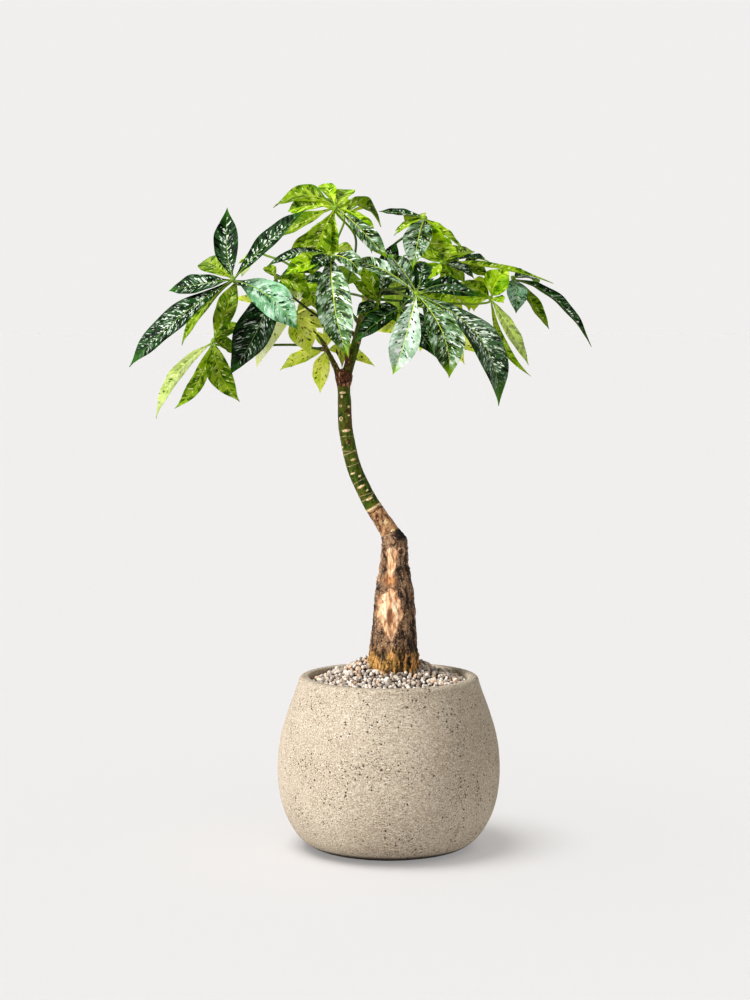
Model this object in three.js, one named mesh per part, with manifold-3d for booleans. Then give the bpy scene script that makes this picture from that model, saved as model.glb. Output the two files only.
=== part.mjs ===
// Potted money tree: a round-bellied fibre-stone pot, filled with soil under a gravel mound, holding
// an old woody rootstock with a slim green stem grown from its top and a crown of palmate leaves.
// Millimetres, +Z up. The origin is on the pot's axis, on the surface that the pot stands on.
// The front of the plant faces -Y, and +X is to the right.

import * as THREE from 'three';
import { mergeVertices } from 'three/addons/utils/BufferGeometryUtils.js';
import Module from 'manifold-3d';

const wasm = await Module();
wasm.setup();

// ---------------------------------------------------------------- driving dimensions, mm

const GAP = 0.4;                    // clearance where one piece rests on another
const MERGE_DISTANCE = 1e-4;        // corners closer than this are one corner
const CURVE_SAMPLES = 400;          // for the length along a curve
// The seeded stream of numbers steps by these.
const RANDOM_FACTOR = 1664525;
const RANDOM_STEP = 1013904223;
const RANDOM_RANGE = 2 ** 32;

// Pot: outer outline from the foot to the rim as [radius, height].
const POT_OUTLINE = [
  [88, 0], [104, 5], [119, 17], [131.5, 36], [140, 58], [144.5, 83],
  [145.5, 108], [143.5, 134], [138.5, 158], [131, 182], [122.5, 205], [118, 217],
];
const POT_OUTLINE_STEPS = 12;
const POT_HEIGHT = 225.5;
const POT_FLOOR = 18;
const POT_MOUTH_RADIUS = 103.5;
// The pot's inside, from under the rim down to the floor, as [radius, height].
const POT_INSIDE = [[107.5, 205], [124, 160], [131, 110], [119, 56], [89, POT_FLOOR]];
const POT_SEGMENTS = 42;
const RIM_ROUNDING = 7;
const RIM_STEPS = 2;

const SOIL_TOP = 202;
const SOIL_TOP_RADIUS = 107.5;
const SOIL_SEGMENTS = 22;

// Gravel: a mound that rises from just below the rim to the trunk, and is heaped up behind the trunk.
const GRAVEL_RADIUS = 101.5;
const GRAVEL_EDGE_TOP = 218;
const GRAVEL_RISE = 12;
const HEAP_RISE = 24;
const HEAP_SPREAD = 38;
const HEAP_DEPTH = 35;
const GRAVEL_RINGS = 12;
const GRAVEL_SEGMENTS = 34;
const GRAVEL_RELIEF = 3.2;          // how far its stones stand up and down from the mound
const GRAVEL_SCATTER = 0.7;         // how far its corners stray, in steps between corners
const GRAVEL_SEED = 7;

// Rootstock: centre line as [x, height], with its radius there.
const ROOTSTOCK = [
  [6, 140, 24], [6, 190, 28], [6, 215, 31.5], [6, 232, 32.5], [6, 255, 31], [6.5, 285, 28.5],
  [7.5, 318, 25.8], [7.5, 350, 21.5], [7, 380, 17.5], [7, 400, 16],
];
const ROOTSTOCK_SIDES = 18;
const ROOTSTOCK_STEPS = 16;
const RIDGES = 9;
const RIDGE_HEIGHT = 0.035;         // of the radius
const RIDGE_TWIST = 5;              // radians, from the foot to the knuckle
const RIDGES_END = 0.9;             // of the rootstock's length
const KNUCKLE = new THREE.Vector3(1, 0, 414);
const KNUCKLE_AIM = new THREE.Vector3(-0.56, 0, 0.83).normalize();
const KNUCKLE_RADIUS = 12.5;
// The black stub of a shoot that was cut off, at the knuckle's right.
const CUT_SHOOT = {
  from: new THREE.Vector3(8, -2, 402),
  to: new THREE.Vector3(17, -3, 413),
  radius: 5.5,
  sides: 8,
};

// Stem: centre line as [x, height, depth], with its radius there.
const STEM = [
  [-7, 427, 0, 11.2], [-19.5, 445, 0, 10.6], [-32, 468, 0, 9.8], [-44.5, 496, 0, 9.4],
  [-52, 525, 0, 9.2], [-56.5, 553, 0, 9], [-57.5, 581, 0, 8.8], [-58.5, 604, 0, 8.8],
  [-58.5, 613, 0, 11], [-58, 620, 0, 10.4], [-57, 626, 0, 6],
];
const STEM_SIDES = 12;
const STEM_STEPS = 15;

// Viewing point that the crown's places are sighted from: [x, height] of a place is where it is seen
// in the plane of the pot's axis, and its depth is how far behind that plane it really is.
const EYE = new THREE.Vector3(-18, -3000, 705);

// Branches from the stem's top: sighted [x, height, depth, radius].
const BRANCHES = {
  left: [[-62, 612, 0, 6], [-69, 628, 3, 3.8], [-76, 642, 8, 3], [-83, 656, 12, 2.6]],
  middle: [[-53, 626, 2, 4], [-54, 645, -3, 3.4], [-57, 672, -6, 3.4], [-60, 706, -2, 3.4]],
  right: [[-55, 618, 2, 7], [-42, 661, 10, 6], [-31, 701, 12, 5.6], [-18, 722, 10, 5], [-8, 738, 8, 4.2]],
  back: [[-56, 618, 6, 5.5], [-44, 657, 40, 4.8], [-33, 698, 72, 4.4], [-20, 726, 92, 3.8]],
};
const BRANCH_SIDES = 7;
const BRANCH_STEPS = 5;
// Stub that each leaf's stalk grows from.
const STUB_LENGTH = 4;
const STUB_LEAN = 0.5;              // along the branch, per unit outward
const STUB_LEAN_AT_END = 4;         // the same, where the stub ends the branch
const STUB_RADIUS = 2.9;

// Leaves.
const PETIOLE_RADIUS = 1.7;
const PETIOLE_SIDES = 5;
const PETIOLE_STEPS = 6;
const PETIOLE_STRAIGHT = 10;        // at each end of a stalk
const LEAFLET_START = 3;            // from the hub's centre
const HUB_RADIUS = 4.6;
const BLADE_THICKNESS = 0.9;
const BLADE_FOLD = 0.16;            // how far the blade's halves rise from the midrib, per width
// Width along a leaflet, from its stalk to its tip, as [how far along, share of the full width].
const BLADE_OUTLINE = [[0, 0.07], [0.22, 0.66], [0.44, 0.98], [0.66, 0.9], [0.85, 0.42], [1, 0.04]];
const SMALL_BLADE_OUTLINE = [[0, 0.09], [0.26, 0.75], [0.54, 1], [0.8, 0.56], [1, 0.05]];
const SMALL_BLADE_WIDTH = 27;

// One row for each leaf: the branch it grows from, how far along the branch, its hub, the way its
// upper side faces, an optional place that its stalk passes, and its leaflets. Hub, via and tips are
// sighted places, [x, height, depth]. A leaflet is [tip x, tip height, tip depth, width] and then, where
// it isn't bowed in the usual way, how far its middle bows in [x, height, depth].
const LEAVES = [
  { name: 'leaf_left', branch: 'middle', at: 0.9, hub: [-201, 741, -60], faces: [-0.25, -0.8, 0.55],
    via: [-150, 733, 10], tint: 'dark', blades: [
      [-208, 833, -30, 32, -5, -8, 2], [-284, 726, -50, 30, -2, 1, -8],
      [-336, 628, -70, 43, -8, 3, -12], [-107, 831, -75, 30, -3, 0, -8],
      [-118, 676, -100, 43, 5, 10, -14], [-240, 764, 30, 34], [-268, 656, -10, 19, -9, 0, 10],
    ] },
  { name: 'leaf_left_low', branch: 'left', at: 0.88, hub: [-227, 662, -20], faces: [-0.2, -0.85, 0.5],
    via: [-112, 656, 4], tint: 'lime', blades: [
      [-302, 561, -20, 20, -12, 5, -10], [-278, 574, -35, 20, 6, -7, -10],
      [-193, 583, -45, 31, -9, -1, -10], [-196, 740, -20, 28, 2, 0, -4], [-190, 684, 10, 26],
      [-196, 648, 10, 26],
    ] },
  { name: 'leaf_left_mid', branch: 'middle', at: 0.6, hub: [-145, 743, -20], faces: [-0.1, -0.75, 0.65],
    tint: 'dark', blades: [
      [-84, 741, -30, 18, 0, 12, 0], [-207, 617, -50, 53, 5, -3, -12], [-160, 757, 10, 16],
      [-101, 726, -10, 30], [-125, 735, 60, 28],
    ] },
  { name: 'leaf_left_pale', branch: 'left', at: 1, hub: [-121, 698, 0], faces: [0, -0.8, 0.6],
    tint: 'pale', blades: [
      [-171, 627, -15, 24, -8, 4, -4], [-103, 645, -15, 36], [-80, 722, 60, 20], [-205, 716, 25, 15],
      [-84, 678, 6, 26], [-120, 690, 100, 30],
    ] },
  { name: 'leaf_low_pale', branch: 'left', at: 0.6, hub: [-82, 651, 26], faces: [-0.1, -0.8, 0.6],
    tint: 'pale', blades: [
      [-141, 624, 20, 23, -2, 2, 0], [-89, 594, 26, 24], [-95, 674, 36, 12],
      [-61, 625, 22, 18, 8, 16, 0], [-67, 694, 34, 20], [-18, 629, 66, 27, 0, 6, 12],
    ] },
  { name: 'leaf_left_back', branch: 'back', at: 0.45, hub: [-170, 781, 70], faces: [-0.65, -0.3, 0.7],
    via: [-128, 759, 62], tint: 'lime', blades: [
      [-194, 762, 60, 24, 0, -3, -2], [-190, 745, 30, 22, 0, -3, -2], [-152, 788, 90, 16, 0, 0, 0],
      [-142, 801, 165, 20, 0, 0, 0], [-178, 760, 165, 22, 0, 0, 0],
    ] },
  { name: 'leaf_top', branch: 'middle', at: 1, hub: [-68, 834, -25], faces: [0, -0.7, 0.7],
    via: [-43, 794, -14], tint: 'lime', blades: [
      [-149, 833, 20, 40, 2, 15, 0], [-142, 794, -25, 28, -2, 2, -2], [-130, 828, 0, 22, -4, 4, 0],
      [-131, 764, -85, 34, 4, -5, -12], [-100, 744, -98, 34, -5, 3, -14],
      [-80, 750, -78, 26, -3, 2, -12], [-2, 768, -60, 25, -1, 4, -8], [-22, 774, -50, 22, 9, 12, 0],
      [-10, 808, 10, 31, 4, 15, 0], [-86, 863, 50, 22, 0, 4, 0], [-50, 856, 60, 24, 0, 2, 0],
    ] },
  { name: 'leaf_top_back', branch: 'back', at: 0.6, hub: [-58, 822, 70], faces: [0, 0.5, 0.85],
    via: [-72, 770, 72], tint: 'lime', blades: [
      [-110, 836, 120, 28], [-75, 842, 170, 30], [-30, 836, 190, 32], [-18, 830, 120, 26],
    ] },
  { name: 'leaf_front', branch: 'middle', at: 0.75, hub: [-76, 774, -120], faces: [0, -0.85, 0.5],
    tint: 'silver', blades: [
      [-52, 640, -165, 44, -4, 0, -22], [-158, 757, -110, 13, -2, 9, -8], [-100, 752, -150, 20],
      [-42, 762, -105, 24, 0, 8, 0], [-36, 744, -140, 24, 4, 6, -8], [-134, 747, -150, 25, -2, 1, -8],
    ] },
  { name: 'leaf_front_right', branch: 'right', at: 0.75, hub: [36, 723, -130], faces: [0.1, -0.8, 0.6],
    via: [-4, 728, -60], tint: 'silver', blades: [
      [-50, 763, -120, 26, 0, 10, -8], [-1, 773, -90, 26], [46, 764, -85, 22],
      [103, 728, -115, 20, 0, 9, 0], [118, 719, -140, 16, 0, 6, 0], [5, 618, -175, 36, 1, 0, -16],
      [78, 614, -185, 44, 10, 4, -18], [142, 577, -170, 42, 28, 14, -16],
    ] },
  { name: 'leaf_inner_right', branch: 'right', at: 0.66, hub: [14, 704, -45], faces: [0, -0.8, 0.6],
    tint: 'dark', blades: [
      [-44, 660, -70, 30], [64, 638, -100, 39, -1, 4, -8], [58, 742, -30, 24], [36, 690, 20, 28],
    ] },
  { name: 'leaf_right_pale', branch: 'right', at: 0.45, hub: [50, 686, -20], faces: [0.1, -0.8, 0.6],
    tint: 'pale', blades: [
      [-24, 675, -20, 30], [98, 632, -50, 34], [113, 646, -20, 26], [40, 648, -60, 26],
    ] },
  { name: 'leaf_upper_right', branch: 'right', at: 1, hub: [46, 820, -20], faces: [0.1, -0.55, 0.8],
    via: [4, 782, 0], tint: 'lime', blades: [
      [-13, 828, -5, 16, 0, 2, 0], [30, 755, -80, 36, -2, 4, -12], [96, 780, -15, 21, 0, 0, -4],
      [92, 774, -55, 42, -10, -14, -8], [8, 803, 30, 12], [20, 812, 60, 24], [6, 797, -10, 12, 0, 4, 0],
    ] },
  { name: 'leaf_right_mid', branch: 'right', at: 0.93, hub: [68, 763, 0], faces: [0.15, -0.6, 0.8],
    tint: 'lime', blades: [
      [212, 736, 10, 17, 4, 7, 0], [129, 764, 30, 12, 0, 6, 0], [110, 742, -25, 24], [98, 737, 10, 28],
      [110, 776, 60, 26], [46, 738, -15, 24], [80, 770, 110, 30],
    ] },
  { name: 'leaf_right_low', branch: 'right', at: 0.81, hub: [131, 717, -20], faces: [0.2, -0.8, 0.55],
    tint: 'lime', blades: [
      [155, 754, -35, 34, -5, 2, -3], [148, 711, -40, 18], [181, 630, -55, 20, 1, 1, -6],
      [95, 714, -25, 18], [86, 736, 40, 26], [184, 616, -20, 12, -11, -7, 0],
    ] },
  { name: 'leaf_far_right', branch: 'right', at: 0.87, hub: [160, 743, 25], faces: [0.3, -0.6, 0.75],
    tint: 'dark', blades: [
      [164, 697, -10, 28], [262, 654, 10, 23, 6, 15, -6], [207, 677, 20, 22, 2, 1, -5],
      [190, 733, 120, 28],
    ] },
  { name: 'leaf_back_left', branch: 'back', at: 0.88, hub: [-95, 738, 160], faces: [-0.3, 0.75, 0.6],
    tint: 'dark', blades: [
      [-140, 700, 190, 32], [-62, 692, 215, 34], [-35, 740, 190, 30], [-128, 748, 215, 34],
      [-92, 700, 235, 38],
    ] },
  { name: 'leaf_back', branch: 'back', at: 1, hub: [10, 745, 190], faces: [0, 0.8, 0.6],
    tint: 'silver', blades: [
      [-36, 708, 225, 34], [52, 700, 220, 36], [64, 748, 215, 30], [6, 690, 260, 40],
      [-20, 762, 215, 28],
    ] },
  { name: 'leaf_back_right', branch: 'back', at: 0.76, hub: [84, 722, 130], faces: [0.4, 0.7, 0.6],
    tint: 'lime', blades: [
      [104, 700, 150, 26], [130, 735, 165, 30], [70, 670, 165, 34], [110, 700, 205, 34],
    ] },
];
const USUAL_BOW = 0.1;              // of the leaflet's length, towards the side that the leaf faces

// ---------------------------------------------------------------- materials

const finish = (color, roughness) => new THREE.MeshStandardMaterial({ color, roughness, metalness: 0 });
const FINISH = {
  pot: finish(0xc3b69c, 0.9),
  soil: finish(0x3a2a1e, 1),
  gravel: finish(0x9d9488, 0.95),
  bark: finish(0x5a4530, 0.9),
  stem: finish(0x4c6a24, 0.6),
  dark: finish(0x1f4a24, 0.4),
  silver: finish(0x4a7a52, 0.4),
  lime: finish(0x76a62a, 0.45),
  pale: finish(0xb9c766, 0.5),
};

// ---------------------------------------------------------------- closed bodies

// A seeded stream of numbers from 0 to 1.
function randomStream(seed) {
  let state = seed;
  return () => {
    state = (state * RANDOM_FACTOR + RANDOM_STEP) % RANDOM_RANGE;
    return state / RANDOM_RANGE;
  };
}

function solidOf(positions, triangles) {
  const mesh = new wasm.Mesh({
    numProp: 3,
    vertProperties: Float32Array.from(positions),
    triVerts: Uint32Array.from(triangles),
  });
  return new wasm.Manifold(mesh);
}

function solidOfGeometry(source) {
  const bare = source.clone();
  bare.deleteAttribute('normal');
  bare.deleteAttribute('uv');
  const merged = mergeVertices(bare, MERGE_DISTANCE);
  return solidOf(merged.attributes.position.array, merged.index.array);
}

function meshOf(name, solid, material) {
  const result = solid.getMesh();
  const geometry = new THREE.BufferGeometry();
  geometry.setAttribute('position', new THREE.Float32BufferAttribute(result.vertProperties, 3));
  geometry.setIndex(Array.from(result.triVerts));
  geometry.computeVertexNormals();
  const mesh = new THREE.Mesh(geometry, material);
  mesh.name = name;
  return mesh;
}

function joined(solids) {
  return solids.reduce((whole, solid) => whole.add(solid));
}

// A body through rings of points that all hold the same number, turning left round its direction.
function loft(rings) {
  const sides = rings[0].length;
  const points = rings.flat();
  const triangles = [];
  for (let ring = 0; ring + 1 < rings.length; ring += 1) {
    for (let side = 0; side < sides; side += 1) {
      const next = (side + 1) % sides;
      const a = ring * sides + side;
      const b = ring * sides + next;
      triangles.push(a, b, b + sides, a, b + sides, a + sides);
    }
  }
  const last = (rings.length - 1) * sides;
  for (let side = 1; side + 1 < sides; side += 1) {
    triangles.push(0, side + 1, side, last, last + side, last + side + 1);
  }
  return solidOf(points.flatMap((point) => point.toArray()), triangles);
}

// A round bar along a curve, with its radius given by how far along it is.
function bar(curve, radiusAt, sides, steps) {
  const frames = curve.computeFrenetFrames(steps, false);
  const rings = [];
  for (let step = 0; step <= steps; step += 1) {
    const centre = curve.getPointAt(step / steps);
    const ring = [];
    for (let side = 0; side < sides; side += 1) {
      const angle = (side / sides) * Math.PI * 2;
      const radius = radiusAt(step / steps, angle);
      ring.push(centre.clone()
        .addScaledVector(frames.normals[step], Math.cos(angle) * radius)
        .addScaledVector(frames.binormals[step], Math.sin(angle) * radius));
    }
    rings.push(ring);
  }
  return loft(rings);
}

// The value between listed ones, where `along` runs from 0 at the first to 1 at the last.
function between(values, along) {
  const place = along * (values.length - 1);
  const index = Math.min(Math.floor(place), values.length - 2);
  return THREE.MathUtils.lerp(values[index], values[index + 1], place - index);
}

// A body turned about the pot's axis from [radius, height] points that start and end on the axis.
function turned(outline, segments) {
  const profile = outline.map(([radius, height]) => new THREE.Vector2(radius, height));
  const geometry = new THREE.LatheGeometry(profile, segments);
  geometry.rotateX(Math.PI / 2);
  return solidOfGeometry(geometry);
}

// The true place of a sighted [x, height, depth].
function sighted([x, height, depth]) {
  const reach = 1 + depth / -EYE.y;
  return new THREE.Vector3(EYE.x + (x - EYE.x) * reach, depth, EYE.z + (height - EYE.z) * reach);
}

// ---------------------------------------------------------------- pot, soil and gravel

function roundedRim() {
  const outer = POT_OUTLINE.at(-1)[0];
  const points = [];
  for (let step = 0; step <= RIM_STEPS; step += 1) {
    const angle = (step / RIM_STEPS) * (Math.PI / 2);
    points.push([
      outer - RIM_ROUNDING + Math.cos(angle) * RIM_ROUNDING,
      POT_HEIGHT - RIM_ROUNDING + Math.sin(angle) * RIM_ROUNDING,
    ]);
  }
  points.push([POT_MOUTH_RADIUS + RIM_ROUNDING / 2, POT_HEIGHT]);
  points.push([POT_MOUTH_RADIUS, POT_HEIGHT - RIM_ROUNDING / 2]);
  return points;
}

// The pot's inside, moved in by `clearance`.
function innerWall(clearance) {
  return POT_INSIDE.map(([radius, height]) => [radius - clearance, Math.max(height, POT_FLOOR + clearance)]);
}

function makePot() {
  const outside = new THREE.SplineCurve(POT_OUTLINE.map((point) => new THREE.Vector2(...point)));
  const samples = outside.getSpacedPoints(POT_OUTLINE_STEPS).map((point) => [point.x, point.y]);
  const outline = [[0, 0], ...samples, ...roundedRim(), ...innerWall(0), [0, POT_FLOOR]];
  return meshOf('pot', turned(outline, POT_SEGMENTS), FINISH.pot);
}

function makeSoil(hole) {
  const wall = innerWall(GAP).filter(([, height]) => height < SOIL_TOP).reverse();
  const outline = [[0, POT_FLOOR + GAP], ...wall, [SOIL_TOP_RADIUS, SOIL_TOP], [0, SOIL_TOP]];
  return meshOf('soil', turned(outline, SOIL_SEGMENTS).subtract(hole), FINISH.soil);
}

function gravelHeight(radius) {
  const along = 1 - radius / GRAVEL_RADIUS;
  return GRAVEL_EDGE_TOP + GRAVEL_RISE * Math.sin(along * Math.PI / 2);
}

function heapHeight(x, depth) {
  const away = x * x + (depth - HEAP_DEPTH) ** 2;
  return HEAP_RISE * Math.exp(-away / (2 * HEAP_SPREAD ** 2));
}

function makeGravel(hole) {
  const random = randomStream(GRAVEL_SEED);
  const base = SOIL_TOP + GAP;
  const points = [new THREE.Vector3(0, 0, gravelHeight(0)), new THREE.Vector3(0, 0, base)];
  for (let ring = 1; ring <= GRAVEL_RINGS; ring += 1) {
    const edge = ring === GRAVEL_RINGS;
    for (let turn = 0; turn < GRAVEL_SEGMENTS; turn += 1) {
      const strayOut = edge ? 0 : (random() - 0.5) * GRAVEL_SCATTER;
      const strayRound = edge ? 0 : (random() - 0.5) * GRAVEL_SCATTER;
      const radius = GRAVEL_RADIUS * (ring + strayOut) / GRAVEL_RINGS;
      const angle = (turn + strayRound) / GRAVEL_SEGMENTS * Math.PI * 2;
      const x = radius * Math.cos(angle);
      const depth = radius * Math.sin(angle);
      const mound = gravelHeight(radius) + (edge ? 0 : heapHeight(x, depth));
      points.push(new THREE.Vector3(x, depth, mound + (random() * 2 - 1) * GRAVEL_RELIEF));
    }
  }
  for (let turn = 0; turn < GRAVEL_SEGMENTS; turn += 1) {
    const rim = points[2 + (GRAVEL_RINGS - 1) * GRAVEL_SEGMENTS + turn];
    points.push(new THREE.Vector3(rim.x, rim.y, base));
  }
  const at = (ring, turn) => 2 + (ring - 1) * GRAVEL_SEGMENTS + (turn % GRAVEL_SEGMENTS);
  const triangles = [];
  for (let turn = 0; turn < GRAVEL_SEGMENTS; turn += 1) {
    triangles.push(0, at(1, turn), at(1, turn + 1));
    triangles.push(1, at(GRAVEL_RINGS + 1, turn + 1), at(GRAVEL_RINGS + 1, turn));
    for (let ring = 1; ring <= GRAVEL_RINGS; ring += 1) {
      const [a, b] = [at(ring, turn), at(ring, turn + 1)];
      const [c, d] = [at(ring + 1, turn + 1), at(ring + 1, turn)];
      triangles.push(a, d, c, a, c, b);
    }
  }
  const solid = solidOf(points.flatMap((point) => point.toArray()), triangles);
  return meshOf('gravel', solid.subtract(hole), FINISH.gravel);
}

// ---------------------------------------------------------------- rootstock and stem

function rootstockCurve() {
  const points = ROOTSTOCK.map(([x, height]) => new THREE.Vector3(x, 0, height));
  points.push(KNUCKLE.clone());
  return new THREE.CatmullRomCurve3(points, false, 'centripetal');
}

// The rootstock's body, swollen by `clearance` where it stands as the tool for its own hole.
function rootstockBody(clearance) {
  const radii = [...ROOTSTOCK.map(([, , radius]) => radius), KNUCKLE_RADIUS];
  const curve = rootstockCurve();
  const lengths = curve.getLengths(CURVE_SAMPLES);
  const stations = radii.map((radius, index) => {
    const sample = Math.round((index / (radii.length - 1)) * CURVE_SAMPLES);
    return lengths[sample] / lengths.at(-1);
  });
  const radiusAt = (along, angle) => {
    let index = stations.findIndex((station) => station >= along);
    index = Math.max(index, 1);
    const share = (along - stations[index - 1]) / (stations[index] - stations[index - 1]);
    const plain = THREE.MathUtils.lerp(radii[index - 1], radii[index], Math.min(share, 1));
    const relief = along < RIDGES_END ? RIDGE_HEIGHT * Math.cos(angle * RIDGES + along * RIDGE_TWIST) : 0;
    return plain * (1 + relief) + clearance;
  };
  return bar(curve, radiusAt, ROOTSTOCK_SIDES, ROOTSTOCK_STEPS);
}

// What is left of a solid on one side of the plane through `place` that `aim` stands square to:
// 1 keeps the side that `aim` points to, and -1 the other.
function cutAcross(solid, place, aim, keepSide) {
  const size = 2 * POT_HEIGHT;
  const block = new THREE.BoxGeometry(size, size, size);
  block.translate(0, 0, keepSide * size / 2);
  block.applyQuaternion(new THREE.Quaternion().setFromUnitVectors(new THREE.Vector3(0, 0, 1), aim));
  block.translate(place.x, place.y, place.z);
  return solid.intersect(solidOfGeometry(block));
}

function makeRootstock() {
  const { from, to, radius, sides } = CUT_SHOOT;
  const shoot = bar(new THREE.LineCurve3(from, to), () => radius, sides, 1);
  const whole = rootstockBody(0).add(shoot);
  return meshOf('rootstock', cutAcross(whole, KNUCKLE, KNUCKLE_AIM, -1), FINISH.bark);
}

function branchCurve(name) {
  return new THREE.CatmullRomCurve3(BRANCHES[name].map(sighted), false, 'centripetal');
}

function stemCurve() {
  return new THREE.CatmullRomCurve3(STEM.map(([x, height, depth]) => new THREE.Vector3(x, depth, height)));
}

function stemBody() {
  const radii = STEM.map((row) => row[3]);
  const seat = KNUCKLE.clone().addScaledVector(KNUCKLE_AIM, GAP);
  const root = bar(new THREE.LineCurve3(KNUCKLE, stemCurve().getPointAt(0)), () => radii[0], STEM_SIDES, 1);
  const solids = [bar(stemCurve(), (along) => between(radii, along), STEM_SIDES, STEM_STEPS)];
  solids.push(cutAcross(root, seat, KNUCKLE_AIM, 1));
  for (const name of Object.keys(BRANCHES)) {
    const widths = BRANCHES[name].map((row) => row[3]);
    solids.push(bar(branchCurve(name), (along) => between(widths, along), BRANCH_SIDES, BRANCH_STEPS));
  }
  return joined(solids);
}

// ---------------------------------------------------------------- leaves

// Where a leaf's stalk leaves its branch: the place, and the way it heads.
function stalkRoot(leaf) {
  const target = sighted(leaf.via ?? leaf.hub);
  const atEnd = leaf.at === 1;
  const curve = branchCurve(leaf.branch);
  const radius = between(BRANCHES[leaf.branch].map((row) => row[3]), leaf.at);
  const place = curve.getPointAt(leaf.at);
  const tangent = curve.getTangentAt(leaf.at);
  const outward = target.sub(place).projectOnPlane(tangent).normalize();
  const heading = outward.addScaledVector(tangent, atEnd ? STUB_LEAN_AT_END : STUB_LEAN).normalize();
  return { place, heading, reach: (atEnd ? 0 : radius) + STUB_LENGTH };
}

function makeStub(leaf) {
  const { place, heading, reach } = stalkRoot(leaf);
  const end = place.clone().addScaledVector(heading, reach);
  return bar(new THREE.LineCurve3(place, end), () => STUB_RADIUS, PETIOLE_SIDES, 1);
}

function stalkCurve(leaf) {
  const { place, heading, reach } = stalkRoot(leaf);
  const hub = sighted(leaf.hub);
  const facing = new THREE.Vector3(...leaf.faces).normalize();
  const start = place.clone().addScaledVector(heading, reach + GAP);
  const points = [start, start.clone().addScaledVector(heading, PETIOLE_STRAIGHT)];
  if (leaf.via) {
    points.push(sighted(leaf.via));
  }
  points.push(hub.clone().addScaledVector(facing, -PETIOLE_STRAIGHT), hub);
  return new THREE.CatmullRomCurve3(points, false, 'centripetal');
}

// A thin blade with alike triangles on its upper and lower sides, from rows of points across it.
function blade(rows, lower) {
  const across = rows[0].length;
  const count = rows.length * across;
  const points = [...rows.flat(), ...lower.flat()];
  const triangles = [];
  const at = (row, column) => row * across + column;
  for (let row = 0; row + 1 < rows.length; row += 1) {
    for (let column = 0; column + 1 < across; column += 1) {
      const a = at(row, column);
      const b = at(row, column + 1);
      const c = at(row + 1, column + 1);
      const d = at(row + 1, column);
      triangles.push(a, b, c, a, c, d, a + count, c + count, b + count, a + count, d + count, c + count);
    }
    const right = [at(row, 0), at(row + 1, 0)];
    const left = [at(row, across - 1), at(row + 1, across - 1)];
    triangles.push(right[0] + count, right[0], right[1], right[0] + count, right[1], right[1] + count);
    triangles.push(left[0] + count, left[1], left[0], left[0] + count, left[1] + count, left[1]);
  }
  const end = rows.length - 1;
  for (let column = 0; column + 1 < across; column += 1) {
    const first = at(0, column);
    const last = at(end, column);
    triangles.push(first + count, first + count + 1, first + 1, first + count, first + 1, first);
    triangles.push(last + count, last + 1, last + count + 1, last + count, last, last + 1);
  }
  return solidOf(points.flatMap((point) => point.toArray()), triangles);
}

function makeLeaflet(hub, facing, [x, height, depth, width, bowX, bowHeight, bowDepth]) {
  const tip = sighted([x, height, depth]);
  const along = tip.clone().sub(hub);
  const start = hub.clone().addScaledVector(along, LEAFLET_START / along.length());
  const bow = bowX === undefined
    ? facing.clone().multiplyScalar(along.length() * USUAL_BOW)
    : new THREE.Vector3(bowX, bowDepth, bowHeight);
  const control = start.clone().add(tip).multiplyScalar(0.5).addScaledVector(bow, 2);
  const midrib = new THREE.QuadraticBezierCurve3(start, control, tip);
  const side = facing.clone().cross(along).normalize();
  const upper = [];
  const lower = [];
  for (const [share, spread] of width < SMALL_BLADE_WIDTH ? SMALL_BLADE_OUTLINE : BLADE_OUTLINE) {
    const centre = midrib.getPoint(share);
    const up = midrib.getTangent(share).cross(side).normalize();
    const half = width * spread / 2;
    const row = [1, 0, -1].map((edge) => centre.clone()
      .addScaledVector(side, edge * half)
      .addScaledVector(up, Math.abs(edge) * half * 2 * BLADE_FOLD));
    upper.push(row.map((point) => point.clone().addScaledVector(up, BLADE_THICKNESS / 2)));
    lower.push(row.map((point) => point.clone().addScaledVector(up, -BLADE_THICKNESS / 2)));
  }
  return blade(upper, lower);
}

function makeLeaf(leaf) {
  const hub = sighted(leaf.hub);
  const facing = new THREE.Vector3(...leaf.faces).normalize();
  const knob = new THREE.IcosahedronGeometry(HUB_RADIUS, 0);
  knob.translate(hub.x, hub.y, hub.z);
  const stalk = bar(stalkCurve(leaf), () => PETIOLE_RADIUS, PETIOLE_SIDES, PETIOLE_STEPS);
  const leaflets = leaf.blades.map((row) => makeLeaflet(hub, facing, row));
  return meshOf(leaf.name, joined([solidOfGeometry(knob), stalk, ...leaflets]), FINISH[leaf.tint]);
}

// ---------------------------------------------------------------- the whole plant

const group = new THREE.Group();
const rootHole = rootstockBody(GAP);
group.add(makePot(), makeSoil(rootHole), makeGravel(rootHole), makeRootstock());
group.add(meshOf('stem', joined([stemBody(), ...LEAVES.map(makeStub)]), FINISH.stem));
for (const leaf of LEAVES) {
  group.add(makeLeaf(leaf));
}

export default group;
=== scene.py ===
"""Potted money tree: the looks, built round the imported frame.

Tables and shapes below are in millimetres, and `MM` turns them into metres as each mesh is made.
"""

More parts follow.
